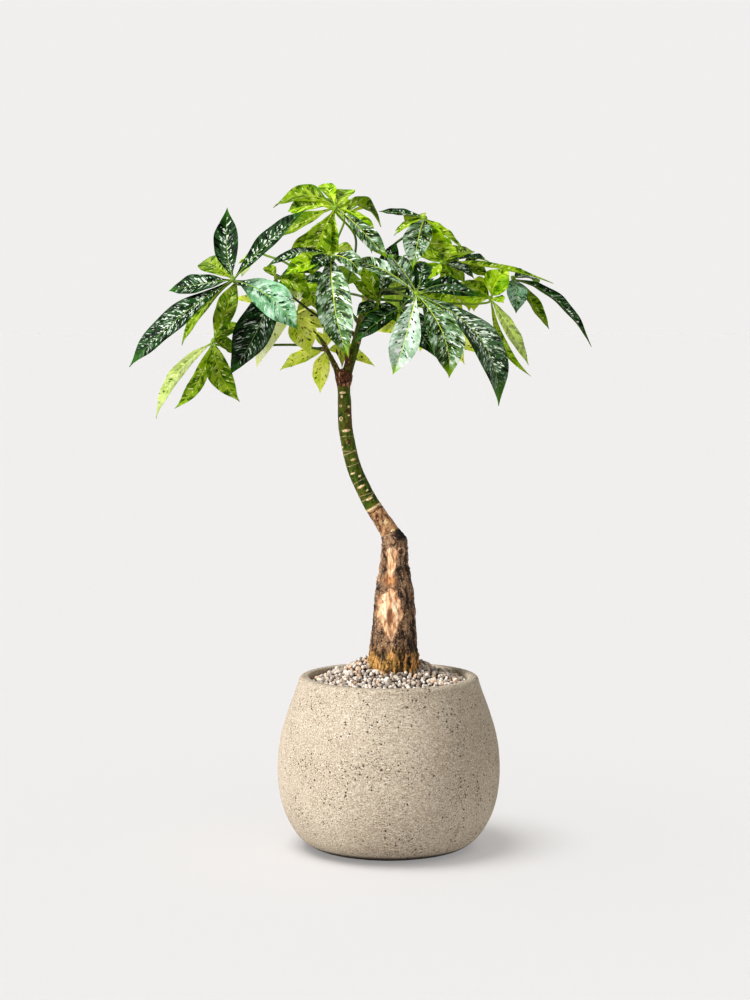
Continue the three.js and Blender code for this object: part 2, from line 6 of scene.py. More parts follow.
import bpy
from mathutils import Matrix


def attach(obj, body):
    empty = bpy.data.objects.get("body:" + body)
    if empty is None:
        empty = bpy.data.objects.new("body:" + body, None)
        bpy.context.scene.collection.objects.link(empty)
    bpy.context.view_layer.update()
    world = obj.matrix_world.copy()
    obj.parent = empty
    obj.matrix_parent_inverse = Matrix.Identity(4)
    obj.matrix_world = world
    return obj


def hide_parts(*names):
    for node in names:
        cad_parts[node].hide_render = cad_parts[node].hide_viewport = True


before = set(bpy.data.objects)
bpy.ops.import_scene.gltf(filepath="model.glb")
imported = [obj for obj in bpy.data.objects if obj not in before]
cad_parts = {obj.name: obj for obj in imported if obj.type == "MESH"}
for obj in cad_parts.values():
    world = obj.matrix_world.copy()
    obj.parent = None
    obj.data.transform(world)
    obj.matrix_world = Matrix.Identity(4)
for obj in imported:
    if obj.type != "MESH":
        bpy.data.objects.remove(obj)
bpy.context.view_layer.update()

import itertools
import math

import bmesh
import bpy
import numpy as np
from mathutils import Vector

MM = 0.001
BODY = "root"
UP = np.array([0.0, 0.0, 1.0])
FRONT = np.array([0.0, -1.0, 0.0])
RIGHT = np.array([1.0, 0.0, 0.0])
FULL_TURN = 2 * math.pi

# ---------------------------------------------------------------- view, light and floor

EYE = np.array([-18.0, -3000.0, 705.0])     # viewing point that sighted places are seen from
LOOK_AT = np.array([-18.0, 0.0, 455.4])
SENSOR = 36.0
LENS = 83.4
FARTHEST = 100                              # metres that the camera sees

WORLD_COLOR = (0.880, 0.866, 0.855, 1)
OVERHEAD_SHARE = 0.3                        # how bright the room is overhead beside its walls
OVERHEAD_FROM = 0.35                        # height on a unit ball where the room starts to dim
OVERHEAD_TO = 0.65
KEY_DIRECTION = (-1.0, -0.56, 0.8)
KEY_STRENGTH = 4.8
KEY_SPREAD = 26
KEY_COLOR = (0.99, 0.995, 1.0)
FLOOR_HALF = 60                             # metres
FLOOR_DROP = 0.2
FLOOR_COLOR = (0.589, 0.579, 0.577, 1)
FLOOR_KEY_DIRECTION = (-0.34, -0.14, 1.0)
FLOOR_KEY_STRENGTH = 2.05
FLOOR_KEY_SPREAD = 34
FLOOR_FILL_STRENGTH = 1.23
FLOOR_FILL_SPREAD = 10
FLOOR_SKY_STRENGTH = 0.22
FLOOR_SKY_SPREAD = 150

# ---------------------------------------------------------------- pot and gravel

POT_OUTLINE = [
    (88, 0), (104, 5), (119, 17), (131.5, 36), (140, 58), (144.5, 83),
    (145.5, 108), (143.5, 134), (138.5, 158), (131, 182), (122.5, 205), (118, 218.5),
]
POT_HEIGHT = 225.5
FOOT_PAINTED_SHADOW = 12                 # height of the painted shadow at the pot's foot: a near-black band for the contact shadow on the floor
FOOT_RADII = (1, 60, 84)        # rings on the flat foot
RIM_ROUNDING = 7
LIP_ROUNDING = 3.5
POT_MOUTH_RADIUS = 103.5
POT_INSIDE = [(103.5, 218), (107.5, 205), (124, 160), (131, 110), (119, 56), (89, 18)]
POT_SIDES = 240
POT_ROWS = 120

GRAVEL_RADIUS = 101.5
GRAVEL_EDGE_TOP = 218
GRAVEL_RISE = 12
GRAVEL_BASE = 202.4
HEAP_RISE = 24                  # a heap behind the trunk
HEAP_SPREAD = 38
HEAP_DEPTH = 35
HEAP_EDGE = 12                  # how far from the gravel's edge the heap runs out
BED_RINGS = 40
BED_SIDES = 120
BED_DEPTH = 3.8                 # of the dark bed under the mound's surface: painted shade that shows in the gaps between the stones
STONE_KINDS = 40
STONE_CUTS = 9
STONE_HEAPS = 4
STONE_TRIES = 30000
STONE_SPACING = 5.5
STONE_CLOSEST = 0.92 * STONE_SPACING
STONE_RADIUS = (2.4, 3.5)
LARGE_STONE_RADIUS = (3.8, 4.8)
LARGE_STONE_SHARE = 0.07
STONE_SINK = 1.6
STONE_LEVELS = (-1.6, 1.8)
TAN_STONE_SHARE = 0.1
TAN_STONE = 0.75
TRUNK_X = 6
TRUNK_CLEARANCE = 31.5

# ---------------------------------------------------------------- rootstock, stem and branches

# x, height and radius
ROOTSTOCK = [
    (6, 140, 24), (6, 190, 28), (6, 215, 31.5), (6, 232, 32.5), (6, 255, 31), (6.5, 285, 28.5),
    (7.5, 318, 25.8), (7.5, 350, 21.5), (7, 380, 17.5), (7, 400, 16), (1, 414, 12.5),
]
ROOTSTOCK_SIDES = 220
ROOTSTOCK_ROWS = 360
BUTT_SHARE = 0.22               # of the length, in the soil and with coarse rows only
BUTT_ROWS = 8
BUTT_HEIGHTS = (180, 205)       # the bark's relief fades out from the upper to the lower one
GOLD_HEIGHTS = (248, 274)       # ragged upper edge of the golden foot
TOP_HEIGHTS = (330, 400)        # where flutes give way to cracks
GNARL_HEIGHTS = (215, 250)
KNUCKLE = np.array([1.0, 0.0, 414.0])
KNUCKLE_AIM = np.array([-0.56, 0.0, 0.83]) / math.hypot(0.56, 0.83)
CHARRED_X = (8, 15)             # the black cut wood at the knuckle's right
CHARRED_HEIGHTS = (396, 404)
CUT_SHOOT = [(7, -2, 400), (12, -2.6, 407), (17.5, -3, 413.5)]
CUT_SHOOT_RADIUS = 6.2
CUT_SHOOT_SIDES = 36

# Pruning wounds at the rootstock's front: height, x, half height, half width. They are bared wood.
BARED = [
    (388, 3, 9, 8), (377, 3, 15, 6.5), (364, 1, 8, 4),
    (339, 3.5, 4.5, 6.5), (322, 0.5, 16, 15), (309, 0.5, 15, 17.5), (296, 1, 16, 10), (283, 2.5, 8, 4),
]
WOUND_CORE = (305, 1, 11, 4.5)
CALLUS = (353, 2, 9, 9)
# Round knots at the rootstock's front: height, x, radius, ring width, how light.
KNOTS = [
    (330, -7.8, 3.1, 1.0, 0.7), (390, 16, 4.2, 1.1, 0.4),
    (352, -14, 2.4, 0.8, 0.4), (272, 14, 3.0, 0.9, 0.3),
]

# x, height, depth and radius
STEM_FOOT = [(4, 409, 0, 12.2), (-1, 418, 0, 11.9)]
STEM = [
    (-7, 427, 0, 11.2), (-19.5, 445, 0, 10.6), (-32, 468, 0, 9.8), (-44.5, 496, 0, 9.4),
    (-52, 525, 0, 9.2), (-56.5, 553, 0, 9), (-57.5, 581, 0, 8.8), (-58.5, 604, 0, 8.8),
    (-58.5, 613, 0, 11), (-58, 620, 0, 10.4), (-57, 626, 0, 6),
]
STEM_ROWS = 330
STEM_SIDES = 90
TAN_HEIGHTS = (444.5, 447.5)    # where the tan foot turns into the green stem
NECK_HEIGHTS = (430, 436)       # fluted below
CORK_HEIGHTS = (600, 606)       # brown cork above
ROUGH_HEIGHTS = (598, 606)      # rough above
CORK_BAND = (545, 560, 576, 585)    # cork patches come in and go out at these heights
CORK_FLECK_HEIGHTS = (500, 540)
STEM_SCARS = [
    # x, height, half length along the stem, half width round it, and 1 where the scar is a ring
    (-60, 595, 1.6, 4.5, 0), (-61, 590, 2.2, 1.6, 0), (-62.4, 578, 1.9, 1.9, 1),
    (-62, 561.4, 3, 3, 1), (-55, 545.8, 1.9, 5.5, 0), (-46, 508.7, 1.5, 3.6, 0),
    (-47, 490.5, 1.3, 4.0, 0), (-38, 487.5, 1.4, 2.4, 0), (-36.4, 473.6, 1.8, 5.4, 0),
    (-28, 468.5, 1.2, 2.0, 0), (-25, 457.5, 1.5, 5.0, 0), (-52, 577, 1.6, 1.8, 0),
    (-60, 524, 1.6, 1.4, 0), (-52, 566, 1.4, 1.8, 0), (-3, 428, 3.4, 3.6, 0), (5, 416, 2.2, 3.4, 0),
]
# Brown stains: x, height, half length, half width, how brown. Cracks and rings: height, half length.
STEM_STAINS = [(-13, 434, 5, 8, 0.5), (-52, 553, 8, 4, 0.5), (-52, 532, 5, 4, 0.6)]
STEM_CRACKS = [(442.5, 0.8), (411.5, 1.4)]
STEM_RINGS = [
    (517, 0.5), (520.5, 0.4), (459.5, 0.5), (463, 0.4), (446, 1.3), (538, 0.3), (503, 0.3), (480, 0.3),
]

# Sighted x, height and depth, with the radius there.
BRANCHES = {
    "left": [(-62, 612, 0, 6), (-69, 628, 3, 3.8), (-76, 642, 8, 3), (-83, 656, 12, 2.6)],
    "middle": [(-53, 626, 2, 4), (-54, 645, -3, 3.4), (-57, 672, -6, 3.4), (-60, 706, -2, 3.4)],
    "right": [(-55, 618, 2, 7), (-42, 661, 10, 6), (-31, 701, 12, 5.6), (-18, 722, 10, 5), (-8, 738, 8, 4.2)],
    "back": [(-56, 618, 6, 5.5), (-44, 657, 40, 4.8), (-33, 698, 72, 4.4), (-20, 726, 92, 3.8)],
}
BRANCH_CORK = {"left": 0.7, "middle": 0.95, "right": 0.15, "back": 0.6}
BRANCH_ROWS = 90
BRANCH_SIDES = 28
BRANCH_KNOTS = (0.3, 0.55, 0.8)     # places along a branch
BRANCH_KNOT_LENGTH = 1.6
STUB_LENGTH = 4
STUB_LEAN = 0.5
STUB_LEAN_AT_END = 4
STUB_RADIUS = 2.9
STUB_ROWS = 14
STUB_SIDES = 16

# ---------------------------------------------------------------- leaves

PETIOLE_RADIUS = 1.7
PETIOLE_STRAIGHT = 10
PETIOLE_ROWS = 70
PETIOLE_SIDES = 14
HUB_RADIUS = 3.4
HUB_ROWS = 12
HUB_SIDES = 18
LEAFLET_START = 3
NECK_ROWS = 10                  # of the short neck between hub and blade
NECK_SIDES = 10
USUAL_BOW = 0.1
BLADE_OUTLINE = [
    (0, 0.05), (0.05, 0.15), (0.12, 0.38), (0.22, 0.66), (0.33, 0.87), (0.44, 0.98), (0.54, 1), (0.66, 0.9),
    (0.76, 0.69), (0.85, 0.42), (0.92, 0.19), (0.97, 0.06), (1, 0.012),
]
BLADE_ROWS = 56
BLADE_COLUMNS = 17
BLADE_SHARES = np.linspace(0, 1, BLADE_ROWS)[:, None]
COLUMN_CROWDING = 1.2           # over 1 crowds the columns towards the midrib
BLADE_THICKNESS = 0.6
BLADE_FOLD = 0.16
FOLD_SPREAD = (0.7, 1.25)
BLADE_TWIST = 0.35              # radians at the tip, and at the hub
BLADE_TWIST_AT_HUB = 0.12
BLADE_SWAY = 0.03
RIPPLE_BEATS = (2.0, 3.6)
OUTLINE_RIPPLE = 0.018
MARGIN_RIPPLE = 0.028
MARGIN_DROOP = 0.4
DROOP_SPREAD = (0.2, 1.2)
MIDRIB_WIDTH = 0.9
MIDRIB_GROOVE = 0.35
MIDRIB_HEIGHT = 1.3
VEIN_SPACING = 7.2
VEIN_LEAN = 0.62                # how far a side vein climbs towards the tip for each mm across
VEIN_CURL = 0.012
VEIN_SHIFT = 0.37
QUILT_DEPTH = 0.14
SIDE_SEED = 9.0                 # sets a leaflet's two halves apart in every pattern

# One row for each leaf: branch, place along it, hub, the way its upper side faces, a place that its
# stalk passes or None, tint, and leaflets as (tip x, height, depth, width, bow or None, other look),
# where a None at the end is left out. Every place is sighted. A bow is (x, height, depth).
LEAVES = {
    "leaf_left": ("middle", 0.9, (-201, 741, -60), (-0.25, -0.8, 0.55), (-150, 733, 10), "dark", [
        (-208, 833, -30, 32, (-5, -8, 2), "dashed"), (-284, 726, -50, 30, (-2, 1, -8), "flecked"),
        (-336, 628, -70, 43, (-8, 3, -12), "feathered"), (-107, 831, -75, 30, (-3, 0, -8)),
        (-118, 676, -100, 43, (5, 10, -14), "mint"), (-240, 764, 30, 34, None, "dim_lime"),
        (-268, 656, -10, 19, (-9, 0, 10), "dim_lime"),
    ]),
    "leaf_left_low": ("left", 0.88, (-227, 662, -20), (-0.2, -0.85, 0.5), (-112, 656, 4), "lime", [
        (-302, 561, -20, 20, (-12, 5, -10), "pale"), (-278, 574, -35, 20, (6, -7, -10)),
        (-193, 583, -45, 31, (-9, -1, -10), "dim"), (-196, 740, -20, 28, (2, 0, -4), "dim"),
        (-190, 684, 10, 26), (-196, 648, 10, 26, None, "dim"),
    ]),
    "leaf_left_mid": ("middle", 0.6, (-145, 743, -20), (-0.1, -0.75, 0.65), None, "dark", [
        (-84, 741, -30, 18, (0, 12, 0)), (-207, 617, -50, 53, (5, -3, -12), "streaked"),
        (-160, 757, 10, 16, None, "bright_lime"), (-101, 726, -10, 30, None, "bright_lime"),
        (-125, 735, 60, 28),
    ]),
    "leaf_left_pale": ("left", 1, (-121, 698, 0), (0, -0.8, 0.6), None, "pale", [
        (-171, 627, -15, 24, (-8, 4, -4), "glowing"), (-103, 645, -15, 36, None, "dim"), (-80, 722, 60, 20),
        (-205, 716, 25, 15), (-84, 678, 6, 26), (-120, 690, 100, 30),
    ]),
    "leaf_low_pale": ("left", 0.6, (-82, 651, 26), (-0.1, -0.8, 0.6), None, "pale", [
        (-141, 624, 20, 23, (-2, 2, 0)), (-89, 594, 26, 24), (-95, 674, 36, 12),
        (-61, 625, 22, 18, (8, 16, 0)), (-67, 694, 34, 20), (-18, 629, 66, 27, (0, 6, 12)),
    ]),
    "leaf_left_back": ("back", 0.45, (-170, 781, 70), (-0.65, -0.3, 0.7), (-128, 759, 62), "lime", [
        (-194, 762, 60, 24, (0, -3, -2), "pale"), (-190, 745, 30, 22, (0, -3, -2), "pale"),
        (-152, 788, 90, 16, (0, 0, 0)), (-142, 801, 165, 20, (0, 0, 0)), (-178, 760, 165, 22, (0, 0, 0)),
    ]),
    "leaf_top": ("middle", 1, (-68, 834, -25), (0, -0.7, 0.7), (-43, 794, -14), "lime", [
        (-149, 833, 20, 40, (2, 15, 0), "darkened"), (-142, 794, -25, 28, (-2, 2, -2), "darkened"),
        (-130, 828, 0, 22, (-4, 4, 0)), (-131, 764, -85, 34, (4, -5, -12), "bright"),
        (-100, 744, -98, 34, (-5, 3, -14), "darkened"), (-80, 750, -78, 26, (-3, 2, -12), "bright"),
        (-2, 768, -60, 25, (-1, 4, -8), "silver"), (-22, 774, -50, 22, (9, 12, 0), "bright"),
        (-10, 808, 10, 31, (4, 15, 0), "darkened"), (-86, 863, 50, 22, (0, 4, 0), "bright"),
        (-50, 856, 60, 24, (0, 2, 0), "bright"),
    ]),
    "leaf_top_back": ("back", 0.6, (-58, 822, 70), (0, 0.5, 0.85), (-72, 770, 72), "lime", [
        (-110, 836, 120, 28), (-75, 842, 170, 30), (-30, 836, 190, 32), (-18, 830, 120, 26),
    ]),
    "leaf_front": ("middle", 0.75, (-76, 774, -120), (0, -0.85, 0.5), None, "silver", [
        (-52, 640, -165, 44, (-4, 0, -22), "halved"), (-158, 757, -110, 13, (-2, 9, -8), "dark"),
        (-100, 752, -150, 20, None, "dark"), (-42, 762, -105, 24, (0, 8, 0), "limy"),
        (-36, 744, -140, 24, (4, 6, -8)), (-134, 747, -150, 25, (-2, 1, -8), "limy"),
    ]),
    "leaf_front_right": ("right", 0.75, (36, 723, -130), (0.1, -0.8, 0.6), (-4, 728, -60), "silver", [
        (-50, 763, -120, 26, (0, 10, -8)), (-1, 773, -90, 26, None, "half_dark"),
        (46, 764, -85, 22, None, "dark"), (103, 728, -115, 20, (0, 9, 0), "deep_dark"),
        (118, 719, -140, 16, (0, 6, 0), "deep_dark"), (5, 618, -175, 36, (1, 0, -16), "grey"),
        (78, 614, -185, 44, (10, 4, -18)), (142, 577, -170, 42, (28, 14, -16), "feathered_dark"),
    ]),
    "leaf_inner_right": ("right", 0.66, (14, 704, -45), (0, -0.8, 0.6), None, "dark", [
        (-44, 660, -70, 30, None, "bare"), (64, 638, -100, 39, (-1, 4, -8), "bare"), (58, 742, -30, 24),
        (36, 690, 20, 28),
    ]),
    "leaf_right_pale": ("right", 0.45, (50, 686, -20), (0.1, -0.8, 0.6), None, "pale", [
        (-24, 675, -20, 30), (98, 632, -50, 34), (113, 646, -20, 26), (40, 648, -60, 26),
    ]),
    "leaf_upper_right": ("right", 1, (46, 820, -20), (0.1, -0.55, 0.8), (4, 782, 0), "lime", [
        (-13, 828, -5, 16, (0, 2, 0), "dark"), (30, 755, -80, 36, (-2, 4, -12), "deep_silver"),
        (96, 780, -15, 21, (0, 0, -4), "bright"), (92, 774, -55, 42, (-10, -14, -8), "bright"),
        (8, 803, 30, 12), (20, 812, 60, 24), (6, 797, -10, 12, (0, 4, 0)),
    ]),
    "leaf_right_mid": ("right", 0.93, (68, 763, 0), (0.15, -0.6, 0.8), None, "lime", [
        (212, 736, 10, 17, (4, 7, 0)), (129, 764, 30, 12, (0, 6, 0), "dark"),
        (110, 742, -25, 24, None, "dark"), (98, 737, 10, 28), (110, 776, 60, 26), (46, 738, -15, 24),
        (80, 770, 110, 30),
    ]),
    "leaf_right_low": ("right", 0.81, (131, 717, -20), (0.2, -0.8, 0.55), None, "lime", [
        (155, 754, -35, 34, (-5, 2, -3), "bright"), (148, 711, -40, 18, None, "bright"),
        (181, 630, -55, 20, (1, 1, -6), "soft"), (95, 714, -25, 18), (86, 736, 40, 26),
        (184, 616, -20, 12, (-11, -7, 0)),
    ]),
    "leaf_far_right": ("right", 0.87, (160, 743, 25), (0.3, -0.6, 0.75), None, "dark", [
        (164, 697, -10, 28, None, "half_mint"), (262, 654, 10, 23, (6, 15, -6), "lean"),
        (207, 677, 20, 22, (2, 1, -5), "dim_lime"), (190, 733, 120, 28),
    ]),
    "leaf_back_left": ("back", 0.88, (-95, 738, 160), (-0.3, 0.75, 0.6), None, "dark", [
        (-140, 700, 190, 32), (-62, 692, 215, 34), (-35, 740, 190, 30), (-128, 748, 215, 34, None, "lime"),
        (-92, 700, 235, 38, None, "mint"),
    ]),
    "leaf_back": ("back", 1, (10, 745, 190), (0, 0.8, 0.6), None, "silver", [
        (-36, 708, 225, 34), (52, 700, 220, 36, None, "grey"), (64, 748, 215, 30, None, "dark"),
        (6, 690, 260, 40), (-20, 762, 215, 28, None, "dark"),
    ]),
    "leaf_back_right": ("back", 0.76, (84, 722, 130), (0.4, 0.7, 0.6), None, "lime", [
        (104, 700, 150, 26), (130, 735, 165, 30), (70, 670, 165, 34, None, "silver"), (110, 700, 205, 34),
    ]),
}

# Small young leaves deep in the crown, as above.
YOUNG_LEAVES = {
    "young_middle": ("right", 0.55, (-14, 712, -25), (0, -0.8, 0.6), None, "lime", [
        (-48, 738, -40, 22), (-34, 758, -25, 22), (10, 790, -20, 26, None, "dark"),
        (-42, 694, -45, 20, None, "dark"), (10, 686, -40, 22, None, "dark"), (-26, 680, -40, 18),
    ]),
    "young_right": ("right", 0.88, (90, 758, 45), (0.1, -0.6, 0.8), None, "lime", [
        (128, 744, 25, 24), (124, 768, 30, 20, None, "dark"), (44, 692, 15, 34, (4, 0, 0), "bright"),
        (66, 742, 30, 24, None, "dim"), (18, 771, 40, 36, None, "bright"), (74, 786, 50, 20),
    ]),
    "young_left": ("middle", 0.72, (-112, 738, 12), (-0.1, -0.7, 0.7), None, "lime", [
        (-146, 726, 0, 22, None, "bright"), (-128, 706, -5, 24, None, "creamy"),
        (-92, 708, -10, 24, None, "bright"), (-80, 742, 10, 20, None, "dark"),
        (-118, 762, 20, 18, None, "bright"),
    ]),
}
MINT_FADES_IN = (0.1, 0.45)     # of the way along a mint leaflet, which is dark before it
# Over 1 moves the leaflets' widest place towards the tip.
LATE_WIDENING = {"leaf_left": 1.2, "leaf_top": 1.5, "leaf_front_right": 1.25}

# Each tint's first, second and third other look.
OTHER_LOOKS = {
    "dark": ("mint", "lime"), "silver": ("grey", "dark", "lime"), "lime": ("silver", "dark", "cream"),
    "pale": ("cream", "dark"),
}
# What each word in LEAVES stands for: the shares of the tint's first, second and third other look, how
# flecked and how feathered the leaflet is, how much lighter it is painted, and the side (-1 or 1) that alone
# has them. That lightness is partly the leaflet's own tone and partly painted light and shade, which even out
# how the crown's light falls on the leaflets.
WORDS = {
    None: (0, 0, 0, 1, 0, 0, 0), "mint": (1, 0, 0, 1, 0.5, 0, 0), "half_mint": (0.5, 0, 0, 0.6, 0, 0, 0),
    "feathered": (0, 0, 0, 0.8, 1.3, 0.1, 0), "feathered_dark": (0.1, 0.85, 0, 1, 1, 0.1, 0),
    "streaked": (0, 0, 0, 0.5, 1.3, -0.5, 0), "flecked": (0, 0, 0, 1.1, 0.7, 0.2, 0),
    "dashed": (0, 0, 0, 1, 0.2, 0, 0), "bare": (0, 0, 0, 0.3, 0.3, -0.1, 0), "grey": (1, 0, 0, 1, 0, 0, 0),
    "silver": (1, 0, 0, 1, 0, -0.1, 0), "deep_silver": (1, 0, 0, 1, 0, -0.2, 0),
    "halved": (0, 0.45, 0, 1, 0.6, 0.1, -1), "dark": (0, 1, 0, 1, 0.4, 0, 0),
    "deep_dark": (0, 1, 0, 0.6, 0.2, -0.3, 0), "half_dark": (0, 0.5, 0, 1, 0.5, 0, 0),
    "lime": (0, 1, 0, 1, 0, 0, 0), "bright_lime": (0, 1, 0, 1, 0, 0.3, 0),
    "dim_lime": (0, 1, 0, 1, 0, -0.25, 0), "pale": (0, 0, 0.3, 0.7, 0, -0.15, 0),
    "bright": (0, 0, 0, 0.8, 0, 0.35, 0), "soft": (0, 0, 0.2, 0.6, 0, 0.1, 0),
    "creamy": (0, 0, 0.65, 0.4, 0, 0.2, 0), "glowing": (1, 0, 0, 0.5, 0, 0.2, 0),
    "dim": (0, 0, 0, 1, 0, -0.2, 0), "darkened": (0, 0, 0, 1, 0, -0.3, 0), "limy": (0, 0, 1, 1, 0, 0.2, 0),
    "lean": (0, 0, 0, 0.5, 0.3, 0, 0),
}

LEAF_CONTRAST = 1.16            # over 1 deepens the dark greens
LEAF_GAIN = 1.36                # lifts all of them again
LEAF_WHITEST = 0.95             # limit of every colour part
# Display colours, and how the crown's light shows them. Base and base2 are the ground's two greens. The sheen
# is
# painted: lighter patches that stand in for the leaves' gloss. Shade and blotch are lighter and darker areas,
# dash and dot are small spots, and rib is for the veins.
# A look has its own values and, for the rest, the usual ones.
USUAL_LOOK = {
    "painted_sheen_share": 0.5, "blotch_from": 0.58, "blotch_share": 0.5, "dash_floor": 0.0, "feather_share": 0.0,
    "vein_share": 0.3, "gloss": 0.03,
}
OWN_LOOKS = {
    "dark": {
        "light": 1.6, "base": (12, 48, 12), "base2": (36, 78, 32), "painted_sheen": (84, 120, 80),
        "shade": (2, 12, 2), "shade_to": 0.5, "shade_share": 0.9, "blotch": (66, 110, 50),
        "dash": (232, 243, 226), "dash_size": (4.6, 2.8), "dash_share": 0.55, "feather_share": 0.9,
        "dot": (170, 200, 160), "dot_share": 0.08, "rib": (130, 164, 70), "vein_share": 0.12,
        "tip": (60, 116, 30), "tip_from": 0.8, "under": (110, 150, 36), "under2": (140, 172, 60),
        "roughness": 0.42,
    },
    "silver": {
        "light": 1.35, "base": (44, 86, 26), "base2": (112, 148, 100), "painted_sheen": (176, 202, 176),
        "painted_sheen_share": 0.8, "shade": (6, 32, 1), "shade_to": 0.47, "shade_share": 0.9,
        "blotch": (232, 242, 232), "blotch_share": 0.85, "dash": (4, 22, 1), "dash_size": (5.2, 2.9),
        "dash_share": 0.5, "dash_floor": 0.1, "dot": (232, 240, 206), "dot_share": 0.14,
        "rib": (196, 212, 70), "vein_share": 0.34, "tip": (136, 176, 14), "tip_from": 0.8,
        "under": (122, 156, 40), "under2": (156, 184, 66), "roughness": 0.4, "gloss": 0.05,
    },
    "grey": {
        "light": 1.1, "base": (146, 174, 146), "base2": (184, 204, 184), "painted_sheen": (214, 226, 218),
        "painted_sheen_share": 0.6, "shade": (40, 82, 34), "shade_to": 0.42, "shade_share": 0.8,
        "blotch": (238, 245, 242), "blotch_share": 0.8, "dash": (14, 36, 4), "dash_size": (4.6, 3.2),
        "dash_share": 0.35, "dash_floor": 0.02, "dot": (238, 244, 240), "dot_share": 0.14,
        "rib": (206, 216, 100), "vein_share": 0.25, "tip": (140, 184, 16), "tip_from": 0.84,
    },
    "mint": {
        "light": 1.3, "base": (108, 162, 116), "base2": (160, 206, 168), "painted_sheen": (204, 230, 208),
        "painted_sheen_share": 0.6, "shade": (16, 64, 24), "shade_to": 0.42, "shade_share": 0.8,
        "blotch": (232, 246, 234), "blotch_share": 0.7, "dash": (10, 52, 16), "dash_size": (7.5, 3.4),
        "dash_share": 0.5, "dot": (236, 244, 236), "dot_share": 0.12, "rib": (150, 176, 44),
        "vein_share": 0.2, "tip": (56, 128, 56), "tip_from": 0.86,
    },
    "lime": {
        "light": 1.42, "base": (98, 142, 2), "base2": (146, 182, 20), "painted_sheen": (186, 206, 76),
        "shade": (194, 212, 88), "shade_to": 0.43, "shade_share": 0.7, "blotch": (30, 78, 1),
        "blotch_from": 0.54, "blotch_share": 0.8, "dash": (222, 232, 150), "dash_size": (6.5, 3.0),
        "dash_share": 0.4, "dot": (30, 66, 1), "dot_share": 0.1, "rib": (186, 204, 56),
        "tip": (116, 156, 8), "tip_from": 0.9, "under": (150, 182, 22), "under2": (182, 204, 52),
        "roughness": 0.45,
    },
    "cream": {
        "light": 0.9, "base": (206, 212, 140), "base2": (222, 226, 168), "painted_sheen": (232, 234, 192),
        "painted_sheen_share": 0.6, "shade": (184, 200, 90), "shade_to": 0.4, "shade_share": 0.5,
        "blotch": (170, 190, 80), "blotch_from": 0.6, "dash": (60, 72, 14), "dash_size": (5.0, 3.4),
        "dash_share": 0.15, "dash_floor": 0.05, "dot": (60, 72, 14), "dot_share": 0.08,
        "rib": (232, 234, 180), "tip": (214, 220, 120), "tip_from": 0.93,
    },
    "pale": {
        "light": 0.88, "base": (178, 194, 58), "base2": (206, 216, 98), "painted_sheen": (222, 230, 144),
        "shade": (150, 174, 36), "shade_to": 0.4, "shade_share": 0.5, "blotch": (138, 164, 26),
        "blotch_from": 0.6, "dash": (24, 38, 1), "dash_size": (5.0, 3.4), "dash_share": 0.2,
        "dash_floor": 0.1, "dot": (28, 44, 1), "dot_share": 0.12, "rib": (214, 222, 112),
        "tip": (176, 196, 36), "tip_from": 0.93, "under": (190, 206, 80), "under2": (212, 222, 116),
        "roughness": 0.5,
    },
}
LOOKS = {name: {**USUAL_LOOK, **own} for name, own in OWN_LOOKS.items()}

# Display colours of the stalks: at the branch and at the hub.
STALKS = {
    "dark": ((26, 32, 8), (100, 128, 24)), "silver": ((24, 32, 10), (128, 156, 34)),
    "lime": ((46, 72, 8), (116, 148, 28)), "pale": ((60, 78, 14), (146, 170, 56)),
}

# ---------------------------------------------------------------- numbers and curves


def unit(vector):
    vector = np.asarray(vector, float)
    return vector / np.linalg.norm(vector, axis=-1, keepdims=True)


def smooth(low, high, value):
    """0 below low, 1 above high, with a smooth rise between."""
    share = np.clip((value - low) / (high - low), 0, 1)
    return share * share * (3 - 2 * share)


def grain(points, size, seed=0, octaves=1):
    """Seeded noise from -1 to 1 at points, in lumps of about that size."""
    points = np.asarray(points, float)
    total = np.zeros(points.shape[:-1])
    weight, weights = 1.0, 0.0
    for octave in range(octaves):
        cell = points / (size / 2 ** octave) + 17.3 * octave
        low = np.floor(cell).astype(np.int64)
        part = cell - low
        part = part * part * (3 - 2 * part)
        for corner in itertools.product((0, 1), repeat=3):
            at = low + np.array(corner)
            code = at[..., 0] * 73856093 ^ at[..., 1] * 19349663 ^ at[..., 2] * 83492791
            code = (code ^ (seed + octave) * 2654435761) & 0xFFFFFFFF
            code = ((code ^ (code >> 13)) * 1274126177) & 0xFFFFFFFF
            code = code ^ (code >> 16)
            height = (code & 0xFFFF) / 32767.5 - 1
            total += weight * height * np.prod(np.where(corner, part, 1 - part), axis=-1)
        weights += weight
        weight /= 2
    return total / weights


def curve_through(knots, places):
    """Values at places of the smooth curve through (place, value) knots."""
    x, y = np.array(knots, float).T
    slope = np.gradient(y, x)
    index = np.clip(np.searchsorted(x, places, side="right") - 1, 0, len(x) - 2)
    width = x[index + 1] - x[index]
    t = np.clip((places - x[index]) / width, 0, 1)
    a, b = y[index], y[index + 1]
    da, db = slope[index] * width, slope[index + 1] * width
    return a + t * da + t ** 2 * (3 * (b - a) - 2 * da - db) + t ** 3 * (2 * (a - b) + da + db)


